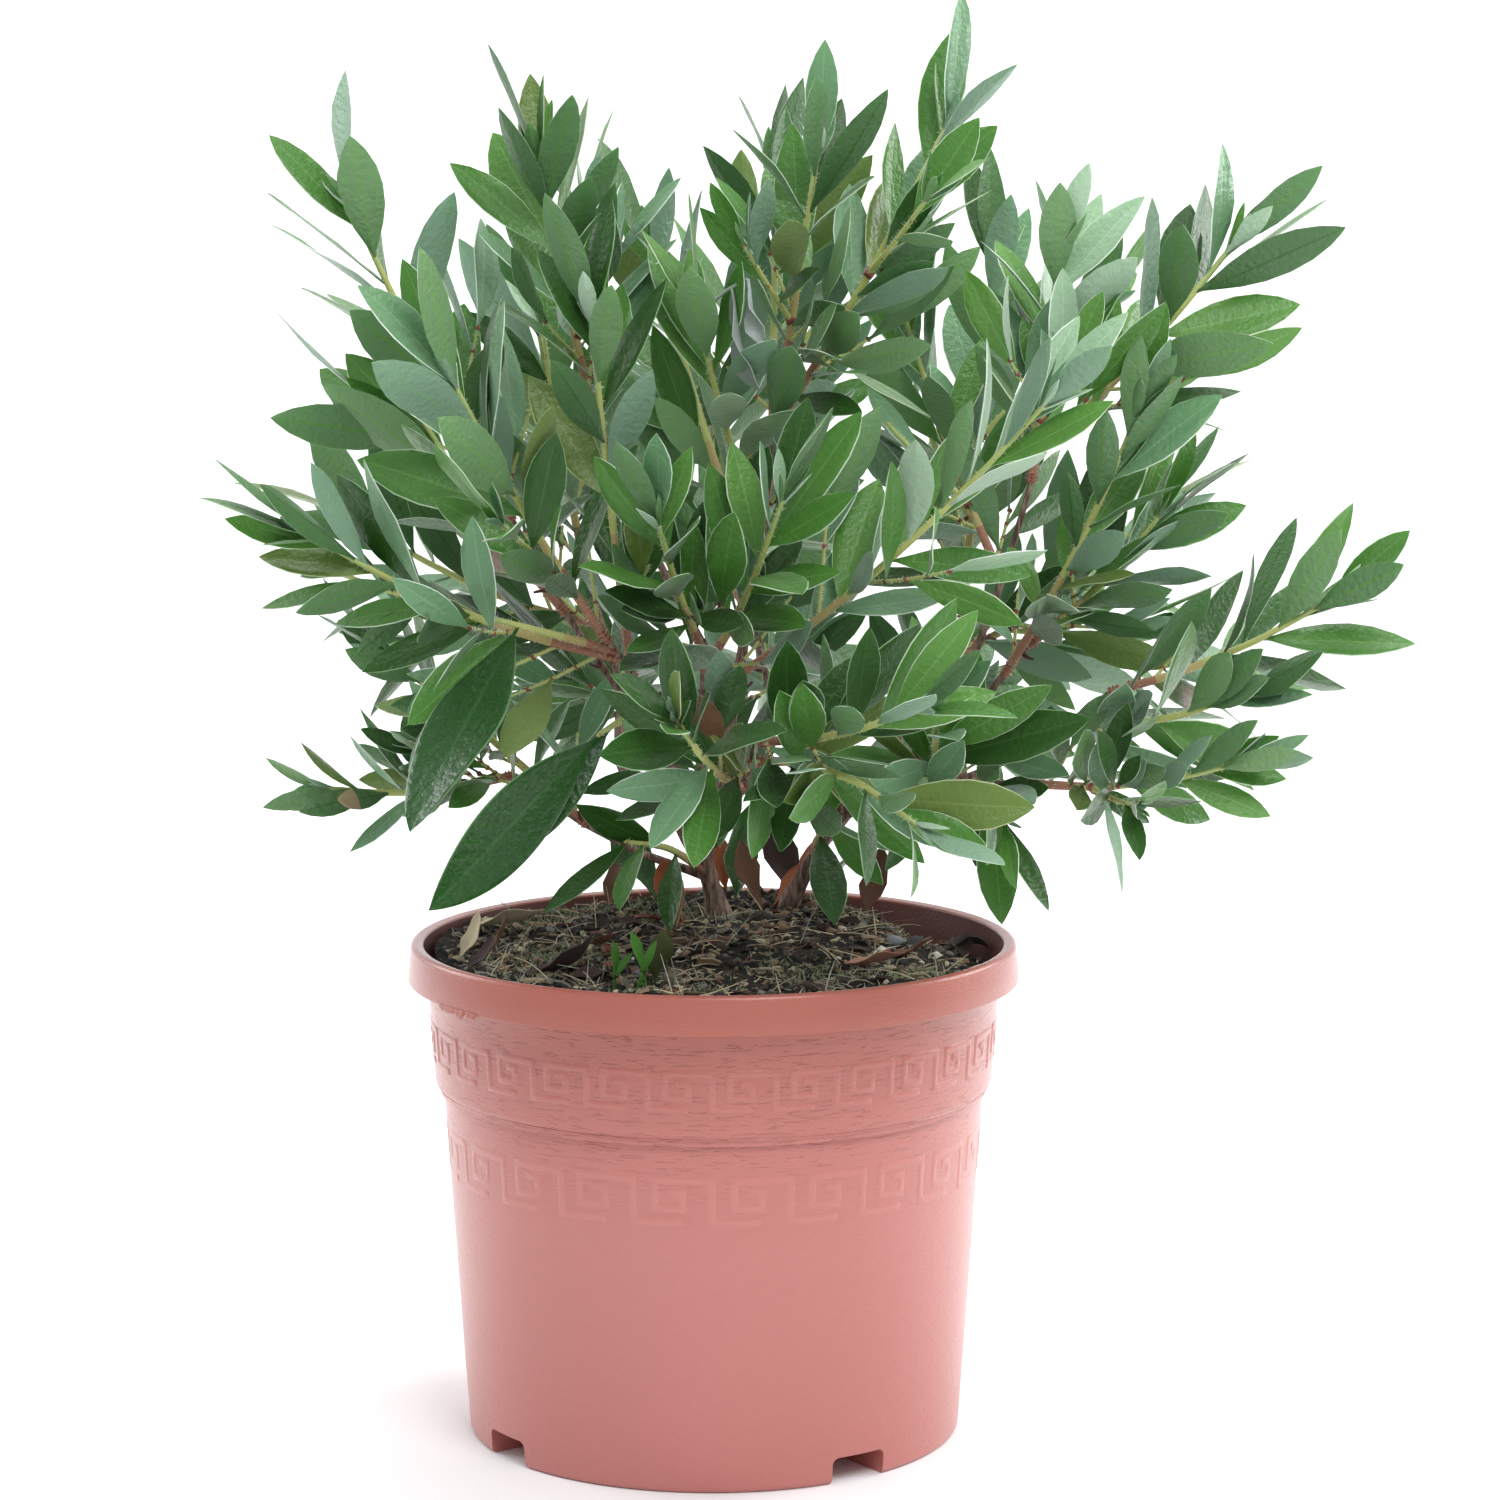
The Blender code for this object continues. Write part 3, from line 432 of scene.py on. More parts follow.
# One leaf blade: rows from the petiole to the tip, columns from the rib to the margin above and
# from the margin back below, and the part of the leaf that each strip between columns is
UPPER, RIB, MARGIN, LOWER = range(4)
BLADE_ROWS = np.array([0.0, 0.05, 0.14, 0.27, 0.42, 0.58, 0.73, 0.87, 0.96, 1.0])
BLADE_COLUMNS = (0.05, 0.5, 0.955, 1.0)
VEINED_ROWS = np.concatenate([np.linspace(0.0, 0.95, 43), [0.98, 1.0]])
VEINED_COLUMNS = (0.05, 0.2, 0.35, 0.5, 0.65, 0.8, 0.955, 1.0)
UNDER_COLUMNS = (0.5, 0.06, -0.06, -0.5)
UNDER_PARTS = (LOWER, LOWER, RIB, LOWER, LOWER)
VEINS = 12
VEIN_RISE = 1.7
VEIN_DEPTH = 0.3
PUCKER = 4.0
FOLD_POWER = 1.4
WAVES = 1.5
EDGE_COLUMN = 0.98
EDGE_DROP = 0.35
EDGE_DROP_SHARE = 0.1
RIB_THINNING = 0.7
BLADE_NECK = 0.03
BLADE_PETIOLE = 0.65
BLADE_TIP = 0.12
BLADE_WIDTH = 0.29
BLADE_FOOT_TAPER = 1.08
BLADE_HEAD_TAPER = 0.9
YOUNG_WIDTH = 0.85
STEM_LOOKS = ("twig_old", "twig_mid", "twig_young", "twig_young", "twig_green")
LARGE_WIDTH = 1.2
RIB_THICKNESS = 0.75
DEAD_FROM_SHARE = 0.55

# Leaf colours: upper face, rib, margin, lower face
LEAF_TONES = {
    "deep": ((36, 78, 16), (50, 92, 30), (122, 154, 112), (70, 106, 62)),
    "mid": ((70, 120, 42), (86, 134, 60), (176, 200, 168), (92, 128, 84)),
    "fresh": ((90, 138, 60), (108, 152, 82), (200, 218, 186), (110, 146, 98)),
    "grey": ((104, 144, 104), (120, 156, 120), (212, 226, 212), (122, 152, 128)),
    "olive": ((94, 118, 46), (108, 130, 60), (172, 182, 138), (112, 132, 74)),
    "silver": ((152, 184, 150), (166, 196, 162), (236, 242, 234), (172, 196, 172)),
    "glossy": ((34, 76, 26), (46, 90, 40), (92, 124, 84), (64, 100, 56)),
    "dry": ((150, 124, 96), (160, 134, 106), (170, 148, 120), (164, 140, 112)),
    "brown": ((104, 66, 46), (116, 78, 56), (128, 94, 70), (118, 84, 62)),
    "withered": ((138, 146, 140), (150, 156, 150), (178, 186, 182), (156, 164, 160)),
}
LOW_TONES = (("deep", 0.45), ("mid", 0.27), ("grey", 0.19), ("olive", 0.06), ("brown", 0.03))
HIGH_TONES = (("deep", 0.2), ("mid", 0.34), ("grey", 0.24), ("fresh", 0.18), ("olive", 0.04))
TIP_TONES = (("fresh", 0.3), ("grey", 0.27), ("mid", 0.15), ("silver", 0.28))
NEW_TONES = (("silver", 0.55), ("fresh", 0.3), ("grey", 0.15))
# Leaves below this height are darker; for each millimetre to the right it falls by this much, partly painted
# light, as the right of the crown is lit more strongly, and partly the lighter tones of the shoots there
LOW_CROWN = 290.0
RIGHT_LIT_PALER = 0.4
AGE_PALER = 60.0
NEW_FROM_SHARE = 0.45
NEW_SHOOTS = ("shoot_right_new", "shoot_centre_right")
SCORCHED_SHOOTS = ("shoot_right_out", "shoot_low_left")

# Pot colours by height, from the foot to the lip, with painted shade: darker at the tier top under the lip
# and on the lip, lighter down the body where the floor's bounce light falls
POT_CLOUDS = 0.12
POT_CLOUD_NOISE = (14.0, 4.0)
# How much lighter the raised key lines are coloured: a painted highlight where their relief catches the light
KEY_HIGHLIGHT_LIFT = 5
POT_SHADED_COLOURS = (
    (0.1, (182, 108, 100)), (0.55, (184, 112, 104)), (0.76, (180, 106, 97)), (0.9, (164, 92, 82)),
    (0.98, (162, 86, 72)),
)
# A darker colour for the inside wall of the tub: painted shade, as the inside lies in shadow
POT_INSIDE_SHADE_COLOUR = (104, 52, 46)
POT_ROUGHNESS = (0.26, 0.46)
POT_GRAIN = (420.0, 420.0, 1400.0)
POT_GRAIN_HEIGHT = 0.25
POT_WRINKLES = (120.0, 120.0, 1300.0)
POT_CRACKS = 0.28
KEY_CRACKS = 0.08
CRACKS_FROM = 0.6
CRACKS_TO = 0.67
CRACKS_FADE = 45.0
CRACKS_TIER = 0.9
CRACKS_LIP_FADE = 2.0
CRACKS_LIP = 0.1
POT_SHADER = {"Specular IOR Level": 0.5, "Coat Weight": 0.4, "Coat Roughness": 0.24}
SOIL_COLOURS = ((0.36, (14, 12, 10)), (0.52, (28, 23, 19)), (0.66, (58, 47, 38)), (0.8, (120, 104, 84)))
BARK_COLOURS = ((0.30, (66, 50, 44)), (0.46, (108, 84, 74)), (0.6, (144, 120, 108)), (0.78, (178, 160, 148)))
# Plain surfaces: least and most roughness, fineness of the grain and its height
GLOSSY_LEAF = (0.16, 0.42, 380.0, 0.7)
MATT_LEAF = (0.24, 0.52, 480.0, 0.6)
POT_INSIDE = (0.5, 0.7, 800.0, 0.2)
TWIG_SKIN = (0.6, 0.8, 1200.0, 0.15)
LITTER_SKIN = (0.8, 0.95, 1500.0, 0.2)
# Rough surfaces: colours, roughness, noise, and the height and noise of the relief
COMPOST_SURFACE = (SOIL_COLOURS, 0.95, (260.0, 8.0), 1.2, (700.0, 6.0))
BARK_SURFACE = (BARK_COLOURS, 0.88, (1.0, 6.0, (700.0, 700.0, 110.0)), 0.7, None)
DOWNY_SHEEN = 0.3
LEAF_SHEEN = 0.05
LEAF_SHADER = {
    "Specular IOR Level": 0.42,
    "Sheen Roughness": 0.5,
    "Subsurface Weight": 0.18,
    "Subsurface Radius": (0.6, 1.0, 0.3),
    "Subsurface Scale": 0.0012,
}
LITTER_COLOURS = {
    "crumb_black": (26, 22, 19),
    "crumb_brown": (60, 46, 37),
    "crumb_tan": (128, 104, 80),
    "crumb_grey": (110, 106, 94),
    "crumb_pale": (178, 166, 140),
    "straw_pale": (202, 186, 156),
    "straw_brown": (130, 106, 84),
    "straw_grey": (164, 162, 144),
    "chip_dark": (62, 44, 38),
    "chip_red": (112, 66, 50),
    "chip_tan": (140, 120, 98),
    "moss_green": (128, 136, 104),
    "moss_dark": (38, 46, 30),
    "fallen_orange": (150, 84, 52),
    "fallen_brown": (104, 72, 54),
    "fallen_dark": (62, 44, 42),
    "fallen_pink": (178, 128, 110),
    "fallen_olive": (74, 84, 44),
    "stone_grey": (120, 122, 126),
    "stone_dark": (70, 70, 72),
    "stone_white": (205, 200, 188),
    "seedling": (66, 118, 36),
}
TWIG_COLOURS = {
    "twig_old": (164, 116, 94),
    "twig_mid": (184, 166, 112),
    "twig_young": (184, 188, 114),
    "twig_green": (176, 188, 118),
    "twig_dead": (84, 50, 44),
    "node_red": (136, 76, 62),
    "down": (224, 230, 216),
}

# A place is (azimuth, reach, height): degrees from the front towards +X,
# distance from the pot's axis, height above the ground.
TRUNKS = (
    Limb("trunk_left", (2, 28), 0.0, (-164, 21, 213), 7.6, 0),
    Limb("trunk_right", (27, 52), 0.0, (131, 61, 220), 6.4, 0),
)

BOUGHS = (
    Limb("bough_left", "trunk_left", 1.0, (-59, 43, 289), 4.4, 8),
    Limb("bough_centre", "trunk_left", 0.86, (-10, 18, 284), 4.0, -8),
    Limb("bough_top", "trunk_left", 0.66, (121, 29, 377), 4.8, -6),
    Limb("bough_left_high", "bough_left", 0.45, (-96, 72, 329), 3.2, -6),
    Limb("bough_left_top", "bough_top", 0.36, (-105, 45, 370), 3.2, -8),
    Limb("bough_low_left", "trunk_left", 0.5, (-107, 76, 235), 3.4, -5),
    Limb("bough_front", "trunk_left", 0.8, (14, 64, 259), 3.4, -8),
    Limb("bough_right", "trunk_right", 1.0, (96, 117, 233), 4.0, 4),
    Limb("bough_right_mid", "trunk_right", 0.85, (99, 115, 283), 4.0, -8),
    Limb("bough_right_out", "bough_right", 0.55, (99, 145, 265), 2.9, -4),
    Limb("bough_right_high", "bough_right_mid", 0.42, (97, 118, 354), 3.2, -12),
    Limb("bough_back_left", "trunk_left", 0.42, (-150, 95, 300), 3.6, -12),
    Limb("bough_back", "trunk_right", 0.7, (175, 112, 300), 3.6, -10),
    Limb("bough_back_right", "trunk_right", 0.55, (132, 125, 285), 3.6, -8),
)

# A shoot has its limb and where along it the stem starts, the place of its tip, its bow, the
# length and number of its leaves, its side twigs, lift and seed, and its finer growth's seed.
SHOOTS = (
    Shoot("shoot_left_top", "bough_left_high", 1.0, (-92, 128, 441), -4, 56, 11, 1, 0.1, 20, 57),
    Shoot("shoot_left_upper", "bough_left", 1.0, (-58, 103, 380), -4, 56, 11, 1, 0.1, 64, 20),
    Shoot("shoot_left_out", "bough_left", 0.9, (-66, 150, 330), -6, 50, 12, 2, 0.1, 58, 57),
    Shoot("shoot_left_mid", "bough_left", 0.78, (-50, 54, 401), -8, 52, 11, 1, 0.1, 14, 32),
    Shoot("shoot_left_side", "bough_left_high", 0.6, (-94, 106, 368), -4, 54, 9, 0, 0.1, 41, 35),
    Shoot("shoot_top_left", "bough_left_top", 1.0, (-95, 62, 456), -2, 50, 12, 2, 0.1, 45, 54),
    Shoot("shoot_low_left", "bough_low_left", 1.0, (-94, 140, 232), -4, 34, 11, 1, 0.1, 77, 14),
    Shoot("shoot_low_left_up", "bough_low_left", 0.6, (-100, 122, 280), 2, 38, 10, 1, 0.1, 50, 13),
    Shoot("shoot_left_hanging", "bough_left", 0.6, (-53, 50, 257), 2, 92, 4, 0, -0.5, 34, 0),
    Shoot("shoot_left_large", "bough_left", 0.945, (-60, 90, 300), 0, 92, 4, 0, -0.9, 12, 0),
    Shoot("shoot_foot_left", "trunk_left", 0.55, (-88, 31, 214), 4, 46, 5, 0, -0.6, 119, 0),
    Shoot("shoot_foot_right", "trunk_right", 0.5, (112, 46, 222), 3, 44, 5, 0, -0.5, 72, 0),
    Shoot("shoot_centre_left", "bough_centre", 1.0, (-17, 63, 334), -4, 46, 10, 0, 0.1, 74, 7),
    Shoot("shoot_centre", "bough_centre", 0.92, (22, 65, 342), -6, 48, 11, 0, 0.1, 50, 42),
    Shoot("shoot_centre_right", "bough_centre", 0.8, (62, 128, 374), -8, 48, 15, 1, 0.1, 82, 17),
    Shoot("shoot_front_right", "bough_front", 1.0, (32, 129, 277), -4, 46, 11, 0, 0.1, 77, 58),
    Shoot("shoot_front_low", "bough_front", 0.88, (30, 139, 238), 8, 44, 11, 0, 0.0, 91, 42),
    Shoot("shoot_front_left", "bough_front", 0.72, (-6, 108, 272), -4, 44, 10, 0, 0.0, 18, 26),
    Shoot("shoot_top", "bough_top", 0.92, (83, 82, 468), -4, 52, 13, 2, 0.1, 85, 40),
    Shoot("shoot_top_mid", "bough_top", 1.0, (75, 38, 458), 2, 46, 10, 1, 0.1, 96, 23),
    Shoot("shoot_top_centre", "bough_top", 0.7, (-12, 24, 402), -6, 54, 11, 0, 0.1, 39, 45),
    Shoot("shoot_right_top", "bough_right_high", 1.0, (93, 184, 426), -4, 54, 13, 2, 0.1, 104, 20),
    Shoot("shoot_right_new", "bough_right_high", 0.9, (90, 122, 424), -4, 46, 12, 1, 0.1, 43, 51),
    Shoot("shoot_right_up", "bough_right_mid", 1.0, (94, 160, 330), -4, 46, 11, 1, 0.1, 86, 28),
    Shoot("shoot_right_upper", "bough_right_mid", 0.86, (86, 150, 368), -6, 46, 11, 1, 0.1, 71, 5),
    Shoot("shoot_right_out", "bough_right_out", 1.0, (93, 222, 300), -4, 50, 11, 0, 0.1, 114, 56),
    Shoot("shoot_right_low", "bough_right", 1.0, (84, 186, 245), -4, 38, 12, 1, 0.1, 68, 15),
    Shoot("shoot_right_mid", "bough_right_out", 0.7, (88, 188, 268), -4, 50, 9, 0, 0.1, 50, 0),
    Shoot("shoot_right_drop", "bough_right", 0.7, (79, 105, 224), 4, 44, 6, 0, -0.7, 38, 43),
    Shoot("shoot_right_inner", "bough_right", 0.5, (62, 88, 268), -6, 50, 10, 0, 0.1, 13, 24),
    Shoot("shoot_back_left_top", "bough_back_left", 1.0, (-148, 128, 398), -4, 52, 11, 2, 0.1, 55, 24),
    Shoot("shoot_back_left_out", "bough_back_left", 0.86, (-124, 162, 322), -6, 50, 11, 1, 0.1, 35, 15),
    Shoot("shoot_back_left_low", "bough_back_left", 0.62, (-160, 142, 258), -4, 48, 10, 1, 0.0, 1, 22),
    Shoot("shoot_back_top", "bough_back", 1.0, (175, 132, 418), -4, 52, 11, 2, 0.1, 57, 22),
    Shoot("shoot_back_out", "bough_back", 0.84, (-176, 172, 335), -6, 50, 11, 1, 0.1, 59, 58),
    Shoot("shoot_back_low", "bough_back", 0.6, (170, 158, 256), -4, 48, 10, 1, 0.0, 74, 43),
    Shoot("shoot_back_right_top", "bough_back_right", 1.0, (132, 140, 415), -4, 52, 11, 2, 0.1, 54, 12),
    Shoot("shoot_back_right_out", "bough_back_right", 0.84, (120, 188, 322), -6, 50, 11, 1, 0.1, 35, 8),
    Shoot("shoot_back_right_low", "bough_back_right", 0.62, (142, 158, 252), -4, 48, 10, 1, 0.0, 104, 29),
    Shoot("shoot_crown_left", "bough_top", 0.6, (-158, 60, 424), -4, 52, 11, 1, 0.1, 98, 37),
    Shoot("shoot_crown_right", "bough_right_high", 0.6, (121, 80, 402), -4, 50, 11, 1, 0.1, 3, 8),
    Shoot("shoot_crown_back", "bough_top", 0.84, (160, 66, 446), -4, 52, 11, 1, 0.1, 47, 20),
)


def place(azimuth, reach, height):
    """The point at an azimuth and reach from the pot's axis, and a height."""
    angle = math.radians(azimuth)
    return np.array([reach * math.sin(angle), -reach * math.cos(angle), float(height)])


def unit(vector):
    """The vector at length one."""
    return vector / np.linalg.norm(vector)


def across(direction):
    """Two unit vectors square to a direction; the second points as far up as it can."""
    helper = np.array([0.0, 0.0, 1.0])
    if abs(direction[2]) > STEEP:
        helper = np.array([0.0, 1.0, 0.0])
    side = unit(np.cross(direction, helper))
    return side, np.cross(side, direction)


def outward_from(axis, angle):
    """A unit vector square to an axis, at an angle round it."""
    side, up = across(axis)
    return math.cos(angle) * side + math.sin(angle) * up


def tilted(heading, tilt):
    """Direction at a heading, raised by a tilt in degrees, and the face square to it."""
    flat = place(heading, 1.0, 0.0)
    lean = math.radians(tilt)
    direction = math.cos(lean) * flat + np.array([0.0, 0.0, math.sin(lean)])
    side = np.array([-flat[1], flat[0], 0.0])
    return direction, unit(np.cross(side, direction))


def inner_radius(height):
    """Radius of the pot's inner wall at a height, following the outer taper."""
    return outer_radius(height) - WALL


def outer_radius(height):
    """Radius of the pot's outer wall at a height, under the lip."""
    if height > LEDGE_HEIGHT + FLOOR_THICKNESS:
        share = (height - TIER_LOW_HEIGHT) / (POT_HEIGHT - LIP_HEIGHT - TIER_LOW_HEIGHT)
        return TIER_LOW_RADIUS + share * (TIER_TOP_RADIUS - TIER_LOW_RADIUS)
    share = height / LEDGE_HEIGHT
    return FOOT_RADIUS + share * (LEDGE_RADIUS - FOOT_RADIUS)


def soil_height(x, y):
    """Height of the compost: a level patch under the stems that falls away to the wall."""
    away = math.hypot(x - SOIL_PATCH_CENTRE[0], y - SOIL_PATCH_CENTRE[1]) - SOIL_PATCH_RADIUS
    if away <= 0.0:
        return SOIL_CROWN_HEIGHT
    wall = inner_radius(SOIL_EDGE_HEIGHT)
    share = min(1.0, away / max(1.0, away + wall - math.hypot(x, y)))
    fall = share * share * (3.0 - 2.0 * share)
    dip = SOIL_DIP * share * max(0.0, math.cos(math.atan2(x, -y) - math.radians(SOIL_DIP_AZIMUTH)))
    return SOIL_CROWN_HEIGHT - (SOIL_CROWN_HEIGHT - SOIL_EDGE_HEIGHT) * fall - dip


def bent_path(start, end, bow, step):
    """Points on one smooth arc from start to end, raised by bow at its middle."""
    count = max(2, round(np.linalg.norm(end - start) / step))
    middle = (start + end) / 2 + np.array([0.0, 0.0, 2.0 * bow])
    shares = np.linspace(0.0, 1.0, count + 1)
    return np.array([(1 - t) ** 2 * start + 2 * t * (1 - t) * middle + t * t * end for t in shares])


def steps_of(path):
    """Length of each step of a path."""
    return np.linalg.norm(np.diff(path, axis=0), axis=1)


def along(path, share):
    """Point and direction at a share of a path's length."""
    steps = steps_of(path)
    reached = np.concatenate([[0.0], np.cumsum(steps)])
    distance = share * reached[-1]
    index = min(int(np.searchsorted(reached, distance, side="right")) - 1, len(steps) - 1)
    part = (distance - reached[index]) / steps[index]
    return path[index] + part * (path[index + 1] - path[index]), unit(path[index + 1] - path[index])


def limb_radii(limb, path, grounded):
    """Radius at each point of a limb's path, flared where it meets the ground."""
    shares = np.linspace(0.0, 1.0, len(path))
    radii = limb.girth / 2 * (1.0 - (1.0 - LIMB_TAPER) * shares)
    if grounded:
        radii *= 1.0 + FLARE * np.exp(-(path[:, 2] - path[0][2]) / FLARE_HEIGHT)
    return radii


def trunk_path(limb):
    """A trunk's path, from its level cut on the compost to its fork."""
    foot = np.array([limb.parent[0], limb.parent[1], SOIL_CROWN_HEIGHT + CLEARANCE])
    return np.array([foot + (place(*limb.place) - foot) * share for share in TRUNK_SHARES])


def lay_out_limbs():
    """The path and radii of every trunk and bough, by name."""
    paths = {}
    radii = {}
    for limb in TRUNKS:
        paths[limb.name] = trunk_path(limb)
        radii[limb.name] = limb_radii(limb, paths[limb.name], True)
    for limb in BOUGHS:
        start, _ = along(paths[limb.parent], limb.start)
        paths[limb.name] = bent_path(start, place(*limb.place), limb.bow, LIMB_STEP)
        radii[limb.name] = limb_radii(limb, paths[limb.name], False)
    return paths, radii


def leaf_points(root, direction, face, length):
    """Corner points of one leaf: root, two on each side, drooped tip and keel."""
    side = np.cross(direction, face)
    half = LEAF_SIDE_SHARE * LEAF_WIDTH * length / 2
    droop = LEAF_DROOP * length
    corners = (
        (0.0, 0.0, 0.0),
        (LEAF_LOW_SHARE, -half, 0.0),
        (LEAF_HIGH_SHARE, -half, -LEAF_SIDE_DROOP * droop),
        (1.0, 0.0, -droop),
        (LEAF_HIGH_SHARE, half, -LEAF_SIDE_DROOP * droop),
        (LEAF_LOW_SHARE, half, 0.0),
        (0.5, 0.0, LEAF_KEEL * length),
    )
    return np.array([root + direction * a * length + side * b + face * c for a, b, c in corners])


LEAF_FACES = (
    (6, 1, 0), (6, 2, 1), (6, 3, 2), (6, 4, 3), (6, 5, 4), (6, 0, 5),
    (0, 1, 5), (1, 4, 5), (1, 2, 4), (2, 3, 4),
)


def leaf_samples(points):
    """A leaf's corners with points between them, to test where it lies."""
    rim = points[:6]
    after = np.roll(rim, -1, axis=0)
    steps = max(2, round(np.linalg.norm(points[3] - points[0]) / SAMPLE_STEP))
    between = [rim + (after - rim) * k / steps for k in range(1, steps)]
    middle = [points[0] + (points[3] - points[0]) * k / steps for k in range(1, steps)]
    return np.vstack([points, *between, middle])


def blade_tree(points, faces):
    """A search tree of one piece's faces, to find what crosses it."""
    return BVHTree.FromPolygons([tuple(p) for p in points], faces)


class Space:
    """Where each shoot may put its twigs and leaves."""

    def __init__(self, stems, limb_paths, limb_radii_by_name):
        self.names = list(stems)
        self.points = []
        self.owner = []
        for index, name in enumerate(self.names):
            dense = [along(stems[name], t)[0] for t in np.linspace(0.0, 1.0, STEM_TESTS)]
            self.points += dense
            self.owner += [index] * len(dense)
        self.points = np.array(self.points)
        self.owner = np.array(self.owner)
        self.limb_points = []
        self.limb_reach = []
        for name, path in limb_paths.items():
            size = limb_radii_by_name[name]
            for t in np.linspace(0.0, 1.0, LIMB_TESTS):
                self.limb_points.append(along(path, t)[0])
                self.limb_reach.append(np.interp(t, np.linspace(0, 1, len(size)), size))
        self.limb_points = np.array(self.limb_points)
        self.limb_reach = np.array(self.limb_reach)
        self.low = np.array(CAD_BOX[0]) / MM + BOX_MARGIN
        self.high = np.array(CAD_BOX[1]) / MM - BOX_MARGIN
        self.gap = LEAF_GAP
        self.boxed = False

    def own(self, name, samples, gap):
        """Whether the samples lie nearer this shoot's stem than any other's."""
        index = self.names.index(name)
        apart = np.linalg.norm(samples[:, None, :] - self.points[None, :, :], axis=2)
        mine = apart[:, self.owner == index].min(axis=1)
        others = apart[:, self.owner != index].min(axis=1)
        return bool(np.all(mine + gap < others))

    def clear_of_limbs(self, root, direction, face, length, width):
        """Whether a flat blade stays off every limb."""
        side = np.cross(direction, face)
        offset = self.limb_points - root
        ahead = offset @ direction
        beside = np.abs(offset @ side)
        above = np.abs(offset @ face)
        reach = self.limb_reach + LIMB_GAP
        inside = (ahead > -reach) & (ahead < length + reach)
        inside &= (beside < width / 2 + reach) & (above < reach + LEAF_DROOP * length)
        return not bool(np.any(inside))

    def clear_of_pot(self, samples):
        """Whether the samples lie above the compost and the pot's rim."""
        for x, y, z in samples:
            reach = math.hypot(x, y)
            inside = RIM_INNER_RADIUS - RIM_MARGIN
            if reach < inside and z < soil_height(x, y) + SOIL_GAP:
                return False
            if inside <= reach < LIP_RADIUS + RIM_MARGIN and z < POT_HEIGHT + SOIL_GAP:
                return False
        return True

    def in_reach(self, samples):
        """Whether the samples stay within the reach of the solids."""
        inside = np.all(samples > self.low) and np.all(samples < self.high)
        return bool(inside and samples[:, 2].min() > FINE_FLOOR)

    def allows(self, name, root, direction, face, length, rivals):
        """Whether a leaf may grow here, clear of the other blades and twigs of its shoot."""
        points = leaf_points(root, direction, face, length)
        samples = leaf_samples(points)
        if not self.own(name, samples, self.gap):
            return False
        blade = blade_tree(points, LEAF_FACES)
        if any(blade.overlap(rival) for rival in rivals):
            return False
        if not self.clear_of_limbs(root, direction, face, length, LEAF_WIDTH * length):
            return False
        if self.boxed and not self.in_reach(samples):
            return False
        return self.clear_of_pot(samples)


def leaf_pose(axis, turn, slant, lift, roll):
    """Direction and upper face of a leaf that leaves a twig at a slant and is rolled on itself."""
    outward = outward_from(axis, turn)
    direction = unit(math.cos(slant) * axis + math.sin(slant) * outward + np.array([0.0, 0.0, lift]))
    face = unit(axis - direction * np.dot(axis, direction) + FACE_NUDGE * outward)
    face = unit(face - direction * np.dot(face, direction))
    return direction, math.cos(roll) * face + math.sin(roll) * np.cross(direction, face)


def grow_leaves(space, shoot, path, count, size, turn, chance, rivals, kind="leaf"):
    """Leaves in a spiral up one twig, steeper and a little smaller towards its tip."""
    leaves = []
    for k in range(count):
        share = (k + 0.5) / (count - 0.5)
        spot, axis = along(path, BARE_SHARE + (1.0 - BARE_SHARE) * share)
        turn += math.radians(GOLDEN_ANGLE) + TURN_SPREAD * chance.uniform(-1.0, 1.0)
        slant = math.radians(LEAF_OPEN_ANGLE + (LEAF_TIP_ANGLE - LEAF_OPEN_ANGLE) * share ** SLANT_POWER)
        slant *= 1.0 + SLANT_SPREAD * chance.uniform(-1.0, 1.0)
        length = size * (LOW_LEAF + (1.0 - LOW_LEAF) * math.sin(math.pi * share ** SIZE_POWER))
        length *= 1.0 + LENGTH_SPREAD * chance.uniform(-1.0, 1.0)
        roll = math.radians(LEAF_ROLL) * chance.uniform(-1.0, 1.0)
        for attempt in range(LEAF_TRIES):
            lean = turn + TRY_TURN * attempt * (-1) ** attempt
            pose = leaf_pose(axis, lean, slant * (1.0 - TRY_LESS * attempt), shoot.lift, roll)
            reach = length * (1.0 - TRY_LESS * attempt)
            if space.allows(shoot.name, spot, *pose, reach, rivals):
                leaves.append(Leaf(spot, *pose, reach, share, kind))
                rivals.append(blade_tree(leaf_points(spot, *pose, reach), LEAF_FACES))
                break
    return leaves


def side_twig(stem, share, turn, slant, part, spread, chance):
    """Path of a side twig, part as long as its stem, and the points that test where it lies."""
    spot, axis = along(stem, share)
    lean = math.radians(slant)
    outward = math.cos(lean) * axis + math.sin(lean) * outward_from(axis, turn)
    direction = unit(outward + np.array([0.0, 0.0, TWIG_LIFT]))
    reach = part * np.linalg.norm(stem[-1] - stem[0])
    reach *= 1.0 + spread * chance.uniform(-1.0, 1.0)
    samples = np.array([spot + direction * reach * t for t in TWIG_TESTS])
    return bent_path(spot, spot + direction * reach, -TWIG_SAG, reach / 2), samples


def grow_twigs(space, shoot, stem, chance):
    """Side twigs of a shoot, each with its path."""
    twigs = []
    for k in range(shoot.twigs):
        turn = chance.uniform(0.0, TURN)
        share = TWIG_FIRST + TWIG_SPACING * k
        path, samples = side_twig(stem, share, turn, TWIG_SLANT, TWIG_SHARE, TWIG_SPREAD, chance)
        if space.own(shoot.name, samples, TWIG_GAP) and space.clear_of_pot(samples[-1:]):
            twigs.append(path)
    return twigs


